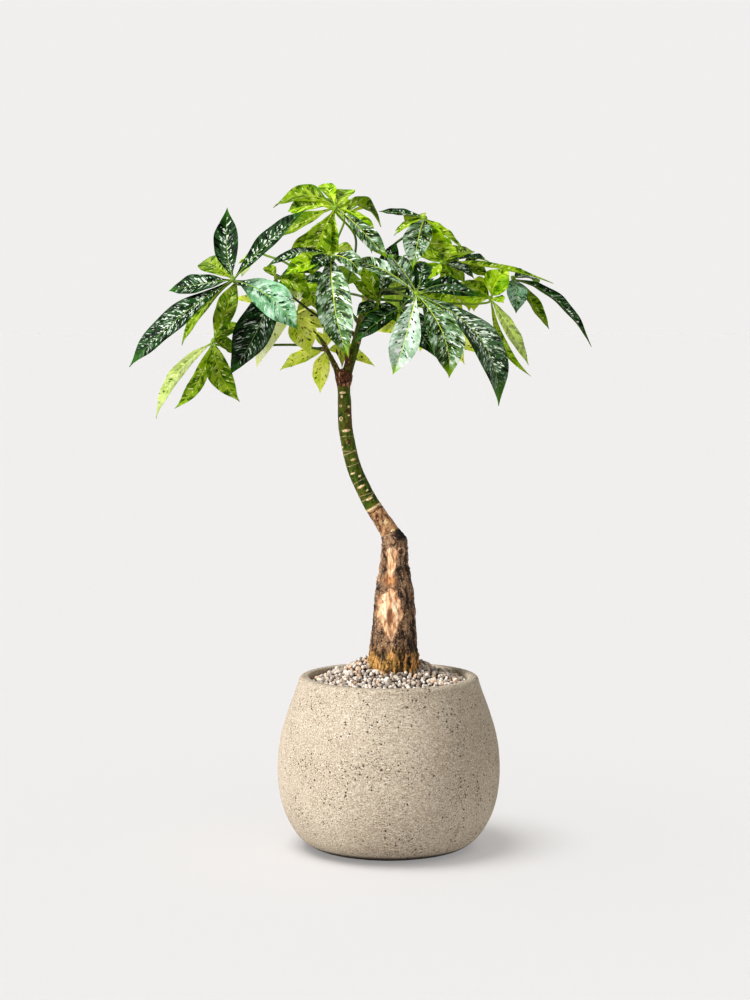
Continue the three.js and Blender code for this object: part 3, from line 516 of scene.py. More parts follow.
class Path:
    """The centripetal curve through points, with places on it given by the share of its length."""

    def __init__(self, points, steps=24):
        p = np.array(points, float)
        p = np.vstack([2 * p[0] - p[1], p, 2 * p[-1] - p[-2]])
        rows = []
        for i in range(1, len(p) - 2):
            before, here, after = (np.linalg.norm(p[k + 1] - p[k]) ** 0.5 for k in (i - 1, i, i + 1))
            rise = p[i + 1] - p[i]
            start = (p[i] - p[i - 1]) / before - (p[i + 1] - p[i - 1]) / (before + here) + rise / here
            end = rise / here - (p[i + 2] - p[i]) / (here + after) + (p[i + 2] - p[i + 1]) / after
            start, end = start * here, end * here
            last = i == len(p) - 3
            for t in np.linspace(0, 1, steps + 1)[: None if last else -1]:
                bend = t ** 2 * (3 * rise - 2 * start - end) + t ** 3 * (start + end - 2 * rise)
                rows.append(p[i] + t * start + bend)
        self.points = np.array(rows)
        lengths = np.linalg.norm(np.diff(self.points, axis=0), axis=1)
        self.length = lengths.sum()
        self.places = np.concatenate([[0], np.cumsum(lengths)]) / self.length

    def at(self, share):
        return np.stack([np.interp(share, self.places, self.points[:, k]) for k in range(3)], axis=-1)

    def tangent(self, share):
        return unit(self.at(np.minimum(share + 1e-3, 1)) - self.at(np.maximum(share - 1e-3, 0)))


def sighted(place):
    """The place at that depth that EYE sees at x and height in the plane y = 0."""
    x, height, depth = place
    reach = 1 + depth / -EYE[1]
    return np.array([EYE[0] + (x - EYE[0]) * reach, depth, EYE[2] + (height - EYE[2]) * reach])


# ---------------------------------------------------------------- meshes


class Shape:
    """Points, faces and named point values that become one mesh."""

    def __init__(self):
        self.points, self.faces, self.values, self.count = [], [], {}, 0

    def add(self, points, faces, **values):
        """Every call gives the same names, each with one value or with one for each point."""
        points = np.asarray(points, float).reshape(-1, 3)
        self.points.append(points)
        self.faces += [tuple(int(i) + self.count for i in face) for face in faces]
        for name, value in values.items():
            value = np.asarray(value, float).reshape(-1, 3)
            self.values.setdefault(name, []).append(np.broadcast_to(value, points.shape))
        self.count += len(points)

    def add_tube(self, path, shares, radii, sides, relief=0.0, **values):
        """A closed tube round a path, as tube_points says, with values as in add."""
        self.add(tube_points(path, shares, radii, sides, relief), tube_faces(len(shares), sides), **values)

    def build(self, name, material, sharp=None):
        mesh = bpy.data.meshes.new(name)
        mesh.from_pydata((np.vstack(self.points) * MM).tolist(), [], self.faces)
        mesh.materials.append(material)
        mesh.polygons.foreach_set("use_smooth", [True] * len(self.faces))
        for key, store in self.values.items():
            attribute = mesh.attributes.new(key, "FLOAT_VECTOR", "POINT")
            attribute.data.foreach_set("vector", np.vstack(store).astype(np.float32).ravel())
        if sharp is not None:
            mesh.set_sharp_from_angle(angle=math.radians(sharp))
        mesh.update()
        return placed(name, mesh)


def placed(name, data):
    """A new object in the scene."""
    piece = bpy.data.objects.new(name, data)
    bpy.context.scene.collection.objects.link(piece)
    return piece


def keep(piece, slot, *nodes):
    """The piece rides with the object and hides those nodes, which it stands for. slot is not used."""
    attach(piece, BODY)
    if nodes:
        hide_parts(*nodes)
    return piece


def tube_faces(rows, sides):
    """Faces of rings of points that turn left round the way they go, and of both ends."""
    ring = np.arange(sides)
    after = (ring + 1) % sides
    faces = []
    for row in range(rows - 1):
        a, b = row * sides, (row + 1) * sides
        faces += list(zip(a + ring, a + after, b + after, b + ring))
    return faces + [tuple(ring[::-1]), tuple((rows - 1) * sides + ring)]


def ring_angles(sides):
    return np.arange(sides) / sides * FULL_TURN


def from_front(sides):
    """The angles of a ring, from -pi to pi, with 0 at its front."""
    return (ring_angles(sides) + math.pi) % FULL_TURN - math.pi


def turned(radii, heights, sides):
    """Rings of points round the pot's axis, and the way out of it at each angle."""
    angles = ring_angles(sides)
    outward = np.stack([np.sin(angles), -np.cos(angles), 0 * angles], axis=1)
    return radii[:, None, None] * outward + heights[:, None, None] * UP, outward


def frames_along(tangents, first):
    """Front and right directions carried along a line without turning round it."""
    fronts = []
    front = first
    for tangent in tangents:
        front = unit(front - tangent * (front @ tangent))
        fronts.append(front)
    fronts = np.array(fronts)
    return fronts, np.cross(tangents, fronts)


def tube_points(path, shares, radii, sides, relief=0.0):
    """Rings round a path. radii is one number for each share, and relief is added at each point."""
    centres, tangents = path.at(shares), path.tangent(shares)
    first = FRONT if abs(tangents[0] @ FRONT) < 0.9 else RIGHT
    fronts, rights = frames_along(tangents, first)
    angles = ring_angles(sides)
    reach = np.asarray(radii)[:, None] + np.zeros((1, sides)) + relief
    return (centres[:, None]
            + fronts[:, None] * (np.cos(angles) * reach)[..., None]
            + rights[:, None] * (np.sin(angles) * reach)[..., None])


def closing(rows, steepness, past):
    """1 along a tube, and a round fall at its end that would reach 0 at past, just beyond it."""
    return np.sqrt(np.clip((past - rows) * steepness, 0, 1))


# ---------------------------------------------------------------- materials


def tone(red, green, blue):
    """A linear colour from 0 to 255 display values."""
    parts = [value / 255 for value in (red, green, blue)]
    return tuple(p / 12.92 if p <= 0.04045 else ((p + 0.055) / 1.055) ** 2.4 for p in parts) + (1.0,)


class Nodes:
    """A node tree of one material, built a node at a time."""

    def __init__(self, name):
        self.material = bpy.data.materials.new(name)
        self.material.use_nodes = True
        self.tree = self.material.node_tree
        self.shader = self.tree.nodes["Principled BSDF"]

    def put(self, socket, value):
        if isinstance(value, bpy.types.NodeSocket):
            self.tree.links.new(value, socket)
        else:
            socket.default_value = value

    def node(self, kind, first_inputs=(), **inputs):
        """A node with its first sockets filled in turn, then settings and sockets by name."""
        made = self.tree.nodes.new(kind)
        for socket, value in zip(made.inputs, first_inputs):
            self.put(socket, value)
        for key, value in inputs.items():
            if key in made.inputs:
                self.put(made.inputs[key], value)
            else:
                setattr(made, key, value)
        return made

    def math(self, operation, *values):
        return self.node("ShaderNodeMath", values, operation=operation).outputs[0]

    def times(self, a, b):
        return self.math("MULTIPLY", a, b)

    def plus(self, a, b):
        return self.math("ADD", a, b)

    def minus(self, a, b):
        return self.math("SUBTRACT", a, b)

    def ramp(self, value, low, high, start=0.0, end=1.0):
        """Start below low and end above high, with a smooth change between."""
        inputs = (value, low, high, start, end)
        return self.node("ShaderNodeMapRange", inputs, interpolation_type="SMOOTHSTEP").outputs[0]

    def mix(self, share, a, b):
        made = self.node("ShaderNodeMix", data_type="RGBA")
        for socket, value in zip((made.inputs[0], made.inputs[6], made.inputs[7]), (share, a, b)):
            self.put(socket, value)
        return made.outputs[2]

    def blend(self, value, low, high, below, above):
        """One display colour below low and another above high."""
        return self.mix(self.ramp(value, low, high), tone(*below), tone(*above))

    def layers(self, color, *layers):
        """Display colours laid over a colour, each up to its share, where the value passes low to high."""
        for value, low, high, share, laid in layers:
            color = self.mix(self.ramp(value, low, high, 0, share), color, tone(*laid))
        return color

    def vector(self, x, y, z):
        return self.node("ShaderNodeCombineXYZ", (x, y, z)).outputs[0]

    def parts(self, vector):
        return self.node("ShaderNodeSeparateXYZ", (vector,)).outputs

    def attribute(self, name):
        return self.node("ShaderNodeAttribute", attribute_name=name).outputs["Vector"]

    def object_place(self):
        return self.node("ShaderNodeTexCoord").outputs["Object"]

    def stretched(self, vector, scale, turn=(0, 0, 0)):
        rotation = [math.radians(degrees) for degrees in turn]
        return self.node("ShaderNodeMapping", Vector=vector, Rotation=rotation, Scale=scale).outputs[0]

    def noise(self, vector, scale, detail=2.0, roughness=0.5, distortion=0.0):
        return self.node("ShaderNodeTexNoise", Vector=vector, Scale=scale, Detail=detail,
                         Roughness=roughness, Distortion=distortion).outputs["Fac"]

    def cells(self, vector, scale):
        return self.node("ShaderNodeTexVoronoi", Vector=vector, Scale=scale).outputs

    def spots(self, x, y, seed, width, height, density, smallest, largest):
        """Separate spots, one in each cell of width by height mm, of which a share `density` shows."""
        place = self.vector(self.plus(self.times(x, 1 / width), self.times(seed, 1.7)),
                            self.plus(self.times(y, 1 / height), self.times(seed, 2.3)), 0.0)
        cells = self.node("ShaderNodeTexVoronoi", voronoi_dimensions="2D", Vector=place, Scale=1).outputs
        own = self.parts(cells["Color"])
        size = self.plus(self.times(own[1], largest - smallest), smallest)
        inside = self.ramp(self.minus(size, cells["Distance"]), -0.04, 0.05)
        return self.times(self.ramp(self.minus(density, own[0]), 0.0, 0.03), inside)

    def finish(self, color, roughness, bumps=(), specular=0.5):
        """Links colour and roughness, and stacks (height, distance, strength) bumps."""
        self.put(self.shader.inputs["Base Color"], color)
        self.put(self.shader.inputs["Roughness"], roughness)
        self.shader.inputs["Specular IOR Level"].default_value = specular
        normal = None
        for height, distance, strength in bumps:
            made = self.node("ShaderNodeBump", Height=height, Distance=distance, Strength=strength)
            if normal is not None:
                self.put(made.inputs["Normal"], normal)
            normal = made.outputs[0]
        if normal is not None:
            self.put(self.shader.inputs["Normal"], normal)
        return self.material


SCRATCH_TURNS = ((37, 48, -26), (48, -26, 59), (-15, 59, 70))
# Pits of three sizes: cells for each metre, and the share of them that are pits, least and most.
PITS = ((180, 0.075, 0.55), (300, 0.09, 0.75), (430, 0.105, 0.65))


def stone_paint():
    """Fibre stone: warm grey with a sandy grain, fine scratches each way, dark pits and light flecks."""
    n = Nodes("pot_stone")
    place = n.object_place()
    sand = n.noise(place, 560, 3, 0.7)
    color = n.blend(n.noise(place, 11, 3), 0.35, 0.65, (168, 153, 132), (180, 166, 145))
    color = n.layers(color, (sand, 0.5, 0.36, 0.65, (122, 106, 88)), (sand, 0.52, 0.66, 0.7, (212, 203, 188)))
    for turn in SCRATCH_TURNS:
        scratch = n.noise(n.stretched(place, (1, 6, 6), turn), 130, 2, 0.6)
        color = n.layers(color, (scratch, 0.61, 0.67, 0.55, (110, 92, 70)),
                         (scratch, 0.38, 0.31, 0.6, (228, 219, 202)))
    clusters = n.noise(place, 26, 2)
    pit = 0.0
    for scale, fewest, most in PITS:
        cells = n.cells(place, scale)
        share = n.ramp(clusters, 0.4, 0.64, fewest, most)
        chosen = n.ramp(n.minus(share, n.parts(cells["Color"])[0]), 0, 0.02)
        pit = n.math("MAXIMUM", pit, n.times(n.ramp(cells["Distance"], 0.16, 0.28, 1, 0), chosen))
    flecks = n.cells(place, 400)
    light = n.times(n.ramp(flecks["Distance"], 0.3, 0.14), n.ramp(n.parts(flecks["Color"])[1], 0.66, 0.7))
    # Painted shade: the pits are painted dark brown for the shade inside the small holes.
    color = n.mix(n.times(pit, 0.95), color, tone(50, 36, 25))
    color = n.mix(n.times(light, 0.7), color, tone(234, 227, 212))
    # Painted shadow: the pot is painted near black towards its foot, for the contact shadow where it stands
    # on the floor.
    color = n.layers(color, (n.parts(place)[2], FOOT_PAINTED_SHADOW * MM, FOOT_PAINTED_SHADOW / 2 * MM, 0.95, (34, 25, 16)))
    height = n.minus(n.times(sand, 0.5), pit)
    return n.finish(color, n.ramp(sand, 0.3, 0.7, 0.85, 0.97), [(height, 0.0009, 0.6)], 0.15)


def crumb_paint(name, scale, octaves, low, dark, light):
    n = Nodes(name)
    crumb = n.noise(n.object_place(), scale, octaves, 0.6)
    return n.finish(n.blend(crumb, low, 0.65, dark, light), 0.95, [(crumb, 0.002, 0.6)])


def pumice_paint():
    """Stones with a tone of their own in `tint`: x is light to dark and y is grey to tan."""
    n = Nodes("gravel_pumice")
    tint = n.parts(n.attribute("tint"))
    pores = n.noise(n.object_place(), 900, 3, 0.6)
    color = n.mix(tint[0], tone(250, 241, 229), tone(92, 79, 68))
    color = n.mix(tint[1], color, tone(214, 166, 118))
    color = n.layers(color, (pores, 0.46, 0.36, 0.8, (70, 56, 46)), (pores, 0.56, 0.68, 0.5, (240, 232, 222)))
    return n.finish(color, 0.92, [(pores, 0.0006, 0.7)])


def bark_paint():
    """Old bark. `bark` holds x: bared wood, y: golden foot, z: groove depth. `wound` holds x: how deep
    into a wound, y: black cut wood, z: orange callus."""
    n = Nodes("rootstock_bark")
    place = n.object_place()
    bark, wound = n.parts(n.attribute("bark")), n.parts(n.attribute("wound"))
    long = n.stretched(place, (1, 1, 0.28))
    fibre = n.noise(long, 300, 4, 0.65)
    plates = n.noise(n.stretched(place, (1, 1, 0.45)), 120, 3, 0.65, 0.4)
    patch = n.noise(place, 70, 3, 0.6)
    fine = n.noise(place, 620, 3, 0.6)
    color = n.layers(n.blend(fibre, 0.38, 0.64, (30, 19, 12), (110, 78, 52)),
                     (plates, 0.52, 0.6, 0.75, (150, 116, 86)), (patch, 0.54, 0.66, 0.5, (128, 98, 70)),
                     (fine, 0.56, 0.64, 0.75, (206, 174, 140)), (plates, 0.47, 0.41, 0.85, (18, 10, 6)))
    gold = n.layers(n.blend(fibre, 0.38, 0.6, (56, 34, 10), (204, 146, 78)),
                    (patch, 0.46, 0.6, 0.6, (104, 88, 34)), (fine, 0.56, 0.66, 0.8, (236, 184, 112)),
                    (plates, 0.49, 0.42, 0.9, (30, 17, 6)))
    wood = n.layers(n.blend(fibre, 0.34, 0.6, (150, 92, 52), (232, 186, 142)),
                    (n.noise(long, 130, 2), 0.54, 0.66, 1, (248, 216, 180)),
                    (fine, 0.42, 0.34, 0.6, (112, 66, 36)))
    wood = n.mix(n.times(wound[0], 0.85), wood, tone(104, 62, 34))
    wood = n.mix(n.times(wound[2], 0.9), wood, n.blend(fibre, 0.4, 0.6, (120, 62, 26), (206, 142, 84)))
    color = n.mix(bark[1], color, gold)
    # Painted shade: the bark is painted near black by how deep each point lies in a groove.
    color = n.mix(n.times(bark[2], 0.9), color, tone(16, 10, 7))
    color = n.mix(bark[0], color, wood)
    color = n.mix(wound[1], color, tone(20, 15, 13))
    bumps = [(fibre, 0.0012, 0.8), (fine, 0.0005, 0.5)]
    return n.finish(color, n.ramp(fibre, 0.3, 0.7, 0.72, 0.92), bumps, 0.2)


def stem_paint():
    """Stem: `zone` holds x: tan bark, y: brown cork, z: cream scar."""
    n = Nodes("stem_skin")
    place = n.object_place()
    zone = n.parts(n.attribute("zone"))
    streak = n.noise(n.stretched(place, (1, 1, 0.3)), 240, 3, 0.6)
    spots = n.noise(place, 420, 3, 0.6)
    color = n.layers(n.blend(streak, 0.38, 0.62, (24, 44, 1), (64, 86, 4)),
                     (n.noise(place, 60, 2), 0.42, 0.6, 0.6, (84, 82, 20)),
                     (spots, 0.6, 0.68, 0.6, (150, 138, 70)), (spots, 0.42, 0.34, 0.7, (30, 22, 6)))
    tan = n.layers(n.blend(streak, 0.38, 0.6, (76, 44, 24), (176, 132, 90)),
                   (spots, 0.56, 0.68, 0.8, (216, 188, 152)))
    cork = n.layers(n.blend(spots, 0.42, 0.6, (30, 14, 7), (104, 60, 34)),
                    (streak, 0.58, 0.66, 0.8, (196, 146, 104)))
    cream = n.blend(spots, 0.36, 0.6, (176, 134, 84), (232, 208, 162))
    for share, laid in zip(zone, (tan, cork, cream)):
        color = n.mix(share, color, laid)
    bumps = [(streak, 0.0005, 0.5), (spots, 0.0003, 0.4)]
    return n.finish(color, n.ramp(spots, 0.3, 0.7, 0.5, 0.7), bumps, 0.1)


def stalk_paint(name, dark, light):
    """Stalks: `zone` x runs from 0 at the branch to 1 at the leaf's hub."""
    n = Nodes(name)
    share = n.parts(n.attribute("zone"))[0]
    streak = n.noise(n.stretched(n.object_place(), (1, 1, 0.5)), 300, 2)
    color = n.layers(n.blend(share, 0.55, 1, dark, light), (streak, 0.45, 0.65, 0.35, light))
    return n.finish(color, n.ramp(streak, 0.3, 0.7, 0.35, 0.5), [(streak, 0.0003, 0.3)], 0.2)


def shown(look, key):
    """A linear colour that the crown's light shows as the look's display value."""
    parts = [(part / look["light"]) ** LEAF_CONTRAST * LEAF_GAIN for part in tone(*look[key])[:3]]
    return tuple(min(part, LEAF_WHITEST) for part in parts) + (1.0,)


class Blade:
    """What every look of a leaflet is drawn from: places on it, its veins, and noise that follows them.

    `share` holds x: across from -1 to 1, y: along from 0 to 1, z: 1 on the upper side. `place` holds
    x: across and y: along in mm, z: a number of the leaflet's own. `mark` holds x and y: how much of
    the tint's first two other looks it has, z: how light it is. `fleck` holds x: how flecked, y: how
    feathered and z: how much of the third other look."""

    def __init__(self, n):
        share, place, fleck = (n.parts(n.attribute(key)) for key in ("share", "place", "fleck"))
        mark = n.parts(n.attribute("mark"))
        self.others = (mark[0], mark[1], fleck[2])
        # How light the leaflet is painted: partly its own tone, and partly painted light and shade that even
        # out the crown's light.
        self.lightness = mark[2]
        self.along, self.upper = share[1], share[2]
        self.across = n.math("ABSOLUTE", place[0])
        self.edge = n.math("ABSOLUTE", share[0])
        self.seed = n.plus(place[2], n.times(n.math("SIGN", place[0]), SIDE_SEED))
        curl = n.times(n.times(self.across, self.across), VEIN_CURL)
        rank = n.minus(place[1], n.plus(n.times(self.across, VEIN_LEAN), curl))
        shift = n.times(self.seed, VEIN_SHIFT)
        self.vein_place = n.math("FRACT", n.plus(n.times(rank, 1 / VEIN_SPACING), shift))
        off_vein = n.math("ABSOLUTE", n.minus(self.vein_place, 0.5))
        self.vein = n.ramp(off_vein, 0.43, 0.495)
        self.between = n.ramp(off_vein, 0.36, 0.47, 1, 0.1)
        self.broad = n.noise(n.vector(place[0], place[1], self.seed), 0.05, 2)
        # Noise that places the painted sheen, the lighter patches that stand in for the leaves' gloss. The
        # feathers follow it too.
        self.painted_sheen = n.noise(n.vector(place[0], n.times(place[1], 0.6), n.plus(self.seed, 83.0)), 0.09, 2)
        lengthwise = n.vector(n.times(self.across, 0.7), rank, n.plus(self.seed, 31.0))
        self.patches = n.noise(lengthwise, 0.14, 3, 0.5, 0.6)
        waver = n.noise(n.vector(place[0], place[1], n.plus(self.seed, 57.0)), 0.5, 1)
        waver = n.times(n.minus(waver, 0.5), 3.0)
        self.spot_x, self.spot_y = n.plus(self.across, waver), n.plus(rank, waver)
        streak = n.vector(n.times(self.across, 0.24), rank, n.plus(self.seed, 17.0))
        self.streaks = n.noise(streak, 0.42, 2, 0.55, 0.7)
        inner = n.ramp(self.edge, 0.1, 0.95, 1, 0)
        middle = n.times(n.ramp(self.along, 0.02, 0.15), n.ramp(self.along, 0.6, 0.98, 1, 0))
        self.reach = n.times(n.times(inner, middle), fleck[0])
        self.feathered = n.times(n.times(n.ramp(self.edge, 0.7, 1, 1, 0), middle), fleck[1])
        rib_width = n.ramp(self.along, 0, 1, 0.75, 0.2)
        self.rib = n.ramp(n.minus(self.across, rib_width), -0.25, 0.25, 1, 0)

    def upper_color(self, n, look):
        """The upper side: ground, then areas, dashes, feathers, dots, veins, midrib and tip over it."""
        def lay(color, share, most, key):
            return n.mix(n.times(share, most), color, shown(look, key))

        dark_from, light_from = look["shade_to"], look["blotch_from"]
        color = n.mix(n.ramp(self.broad, 0.38, 0.62), shown(look, "base"), shown(look, "base2"))
        # Painted sheen: lighter patches over the ground that stand in for the leaves' gloss.
        color = lay(color, n.ramp(self.painted_sheen, 0.5, 0.66), look["painted_sheen_share"], "painted_sheen")
        color = lay(color, n.ramp(self.patches, dark_from, dark_from - 0.06), look["shade_share"], "shade")
        light = n.ramp(self.patches, light_from, light_from + 0.05)
        color = lay(color, light, look["blotch_share"], "blotch")
        density = n.plus(n.times(self.reach, look["dash_share"]), look["dash_floor"])
        dashes = n.spots(self.spot_x, self.spot_y, self.seed, *look["dash_size"], density, 0.22, 0.5)
        color = lay(color, dashes, self.between, "dash")
        feathers = n.times(n.ramp(self.streaks, 0.58, 0.63), n.ramp(self.painted_sheen, 0.42, 0.52))
        feathers = n.times(n.times(feathers, self.feathered), look["feather_share"])
        color = lay(color, feathers, self.between, "dash")
        own = n.plus(self.seed, 5.0)
        dots = n.spots(self.spot_x, self.spot_y, own, 3.2, 2.6, look["dot_share"], 0.12, 0.42)
        color = lay(color, dots, 0.85, "dot")
        color = lay(color, self.vein, look["vein_share"], "rib")
        color = lay(color, self.rib, 0.85, "rib")
        return lay(color, n.ramp(self.along, look["tip_from"], 0.98), 1, "tip")

    def lower_color(self, n, look):
        color = n.mix(n.ramp(self.broad, 0.35, 0.65), shown(look, "under"), shown(look, "under2"))
        lines = n.math("MAXIMUM", n.times(self.vein, 0.5), self.rib)
        color = n.mix(n.times(lines, 0.7), color, shown(look, "rib"))
        return n.mix(n.ramp(self.patches, 0.54, 0.62, 0, 0.3), color, shown(look, "shade"))


def blade_paint(tint):
    """Leaflets of one tint, with its other looks laid over by the marks."""
    n = Nodes("leaf_" + tint)
    blade = Blade(n)
    look = LOOKS[tint]
    color = blade.upper_color(n, look)
    for share, other in zip(blade.others, OTHER_LOOKS[tint]):
        color = n.mix(share, color, blade.upper_color(n, LOOKS[other]))
    color = n.mix(blade.upper, blade.lower_color(n, look), color)
    # The lightness, partly painted light and shade, scales the leaflet's colour.
    lightness = n.plus(1.0, blade.lightness)
    color = n.node("ShaderNodeHueSaturation", Color=color, Value=lightness).outputs[0]
    wave = n.math("COSINE", n.times(n.minus(blade.vein_place, 0.5), FULL_TURN))
    quilt = n.times(wave, n.ramp(blade.edge, 0.02, 0.4, 0.2, 1))
    roughness = n.ramp(blade.upper, 0, 1, 0.65, look["roughness"])
    roughness = n.plus(roughness, n.times(n.minus(blade.broad, 0.5), 0.2))
    return n.finish(color, roughness, [(quilt, 0.0005, 0.3)], look["gloss"])


# ---------------------------------------------------------------- making the pot and the gravel


def make_pot(paint):
    """The pot turned in fine steps, with a waver of up to a third of a millimetre."""
    outside, inside = (Path([(0, radius, height) for radius, height in outline])
                       for outline in (POT_OUTLINE, POT_INSIDE))
    outside, inside = outside.at(np.linspace(0, 1, POT_ROWS)), inside.at(np.linspace(0.01, 1, POT_ROWS // 2))
    turn = np.linspace(0, math.pi / 2, 10)[1:]
    rim = np.stack([0 * turn, POT_OUTLINE[-1][0] - RIM_ROUNDING * (1 - np.cos(turn)),
                    POT_HEIGHT - RIM_ROUNDING * (1 - np.sin(turn))], axis=1)
    turn = np.linspace(0, math.pi / 2, 8)
    lip = np.stack([0 * turn, POT_MOUTH_RADIUS + LIP_ROUNDING * (1 - np.sin(turn)),
                    POT_HEIGHT - LIP_ROUNDING * (1 - np.cos(turn))], axis=1)
    foot = [(0, radius, 0) for radius in FOOT_RADII]
    floor = [(0, radius, POT_INSIDE[-1][1]) for radius in FOOT_RADII[1::-1]]
    rows = np.vstack([foot, outside, rim, lip, inside, floor])
    points, outward = turned(rows[:, 1], rows[:, 2], POT_SIDES)
    waver = 0.25 * grain(points, 60, 3, 2) + 0.1 * grain(points, 6, 4, 2)
    points += (waver * smooth(1, 30, points[..., 2]))[..., None] * outward
    shape = Shape()
    shape.add(points, tube_faces(len(rows), POT_SIDES))
    return keep(shape.build("stone_pot", paint, sharp=60), "pot", "pot")


def mound_height(x, y):
    radius = np.hypot(x, y)
    along = 1 - np.minimum(radius / GRAVEL_RADIUS, 1)
    heap = HEAP_RISE * np.exp(-(x ** 2 + (y - HEAP_DEPTH) ** 2) / (2 * HEAP_SPREAD ** 2))
    inside = smooth(GRAVEL_RADIUS, GRAVEL_RADIUS - HEAP_EDGE, radius)
    return GRAVEL_EDGE_TOP + GRAVEL_RISE * np.sin(along * math.pi / 2) + heap * inside


# A dark sheet under the stones: painted shade that shows in the gaps between them.
def make_shade_bed(paint):
    radii = np.linspace(0.5, GRAVEL_RADIUS, BED_RINGS)
    points, _ = turned(radii, 0 * radii, BED_SIDES)
    points[..., 2] = mound_height(points[..., 0], points[..., 1]) - BED_DEPTH
    points[..., 2] += 0.8 * grain(points, 5, 8, 2)
    foot = points[-1].copy()
    foot[:, 2] = GRAVEL_BASE
    bed = Shape()
    bed.add(np.concatenate([foot[None], points[::-1]]), tube_faces(BED_RINGS + 1, BED_SIDES))
    keep(bed.build("gravel_shade_bed", paint), "gravel", "gravel")


def stone_forms(random):
    """Angular stones of about unit size: a ball's points drawn in to the nearest of some flat cuts."""
    ball = bmesh.new()
    bmesh.ops.create_icosphere(ball, subdivisions=2, radius=1)
    directions = np.array([point.co for point in ball.verts], float)
    faces = [tuple(point.index for point in face.verts) for face in ball.faces]
    ball.free()
    forms = []
    for _ in range(STONE_KINDS):
        normals = unit(random.normal(size=(STONE_CUTS, 3)))
        depths = random.uniform(0.6, 0.95, STONE_CUTS)
        towards = directions @ normals.T
        reach = np.where(towards > 0.05, depths / np.maximum(towards, 0.05), 9)
        radius = np.minimum(reach.min(axis=1), 1.05)
        forms.append(directions * radius[:, None] * random.uniform(0.8, 1.15, 3))
    return forms, faces


def stone_places(random):
    """Places in the pot's mouth, clear of the trunk and of each other."""
    places, taken = [], {}
    for _ in range(STONE_TRIES):
        radius = math.sqrt(random.uniform(0, 1)) * (GRAVEL_RADIUS - 1.5)
        angle = random.uniform(0, FULL_TURN)
        x, y = radius * math.cos(angle), radius * math.sin(angle)
        if math.hypot(x - TRUNK_X, y) < TRUNK_CLEARANCE:
            continue
        column, row = int(x // STONE_SPACING), int(y // STONE_SPACING)
        cells = itertools.product((column - 1, column, column + 1), (row - 1, row, row + 1))
        near = [place for cell in cells for place in taken.get(cell, [])]
        if any(math.hypot(x - a, y - b) < STONE_CLOSEST for a, b in near):
            continue
        taken.setdefault((column, row), []).append((x, y))
        places.append((x, y))
    return places


def make_stones(paint):
    random = np.random.default_rng(11)
    forms, faces = stone_forms(random)
    heaps = [Shape() for _ in range(STONE_HEAPS)]
    for index, (x, y) in enumerate(stone_places(random)):
        usual = random.uniform() < 1 - LARGE_STONE_SHARE
        size = random.uniform(*(STONE_RADIUS if usual else LARGE_STONE_RADIUS))
        form = forms[random.integers(len(forms))]
        turn, _ = np.linalg.qr(random.normal(size=(3, 3)))
        if np.linalg.det(turn) < 0:
            turn[:, 0] = -turn[:, 0]
        height = float(mound_height(x, y)) - STONE_SINK + random.uniform(*STONE_LEVELS)
        stone = (form * size) @ turn.T + (x, y, height)
        over = np.maximum(np.hypot(stone[:, 0], stone[:, 1]) / (POT_MOUTH_RADIUS - 0.3), 1)
        stone[:, :2] /= over[:, None]
        grey = random.uniform(0, 1) ** 1.2
        tan = TAN_STONE if random.uniform() < TAN_STONE_SHARE else random.uniform(0, 0.22)
        heaps[index % STONE_HEAPS].add(stone, faces, tint=(grey, tan, 0))
    for number, heap in enumerate(heaps):
        keep(heap.build(f"gravel_stones_{number}", paint, sharp=35), "gravel", "gravel")


# ---------------------------------------------------------------- making the rootstock and the stem


def oval(along, across, centre, half_along, half_across, soft=0.25):
    """1 inside an oval on a surface, 0 outside, with a soft edge. centre is (along, across)."""
    away = np.hypot((along - centre[0]) / half_along, (across - centre[1]) / half_across)
    return 1 - smooth(1 - soft, 1 + soft, away)


def bark_relief(spot, angle, height, foot, top):
    """How far uncut bark stands out, and how deep in a groove each point is."""
    ridged = 1 - 2 * np.abs(grain(spot * (1, 1, 0.22), 6.5, 5, 2))
    coarse = grain(spot * (1, 1, 0.35), 13, 6, 2)
    cracks = 1 - 2 * np.abs(grain(spot * (0.35, 0.35, 1), 6, 7, 2))
    flutes = np.cos(angle * 9 + height * 0.02)
    gnarls = np.cos(angle * 7 + 1) * smooth(*GNARL_HEIGHTS, height)
    relief = 1.3 * coarse + (1.3 + 0.7 * foot) * (ridged - 0.4) + 0.7 * (cracks - 0.5) * (0.5 + top)
    relief += 0.8 * grain(spot, 2.6, 9, 2) + 1.6 * foot * grain(spot, 8, 10, 2)
    relief += 0.9 * flutes * (1 - top) + 1.3 * foot * gnarls
    return relief, np.clip((0.42 - ridged) * 1.5 + (0.2 - cracks) * 0.6, 0, 1)


def cut_wounds(relief, spot, x, height, front):
    """The relief with the pruning wounds in it, the bared wood, how deep into a wound, and the callus."""
    ragged = 1.7 * grain(spot, 5, 13, 2)
    wood = 0 * height
    for wound in BARED:
        wood = np.maximum(wood, oval(height + ragged, x + ragged, wound[:2], *wound[2:], 0.12))
    wood *= front
    lip = np.exp(-((wood - 0.5) / 0.22) ** 2) * (np.abs(wood - 0.5) < 0.45)
    hollow = oval(height, x, WOUND_CORE[:2], *WOUND_CORE[2:], 0.4) * front
    callus = oval(height, x, CALLUS[:2], *CALLUS[2:], 0.6) * front * (1 - wood)
    slanted = spot + (height * 0.45)[..., None] * RIGHT
    slashes = smooth(0.1, 0.5, grain(slanted * (1, 1, 0.25), 3.4, 16))
    chisel = grain(spot * (1, 1, 0.45), 3.2, 15, 2)
    relief = relief * (1 - wood) + wood * (-1.6 + 0.9 * chisel - 0.7 * slashes) + 1.1 * lip - 1.8 * hollow
    return relief, wood, np.clip(hollow + 0.8 * lip + 0.6 * slashes * wood, 0, 1), callus


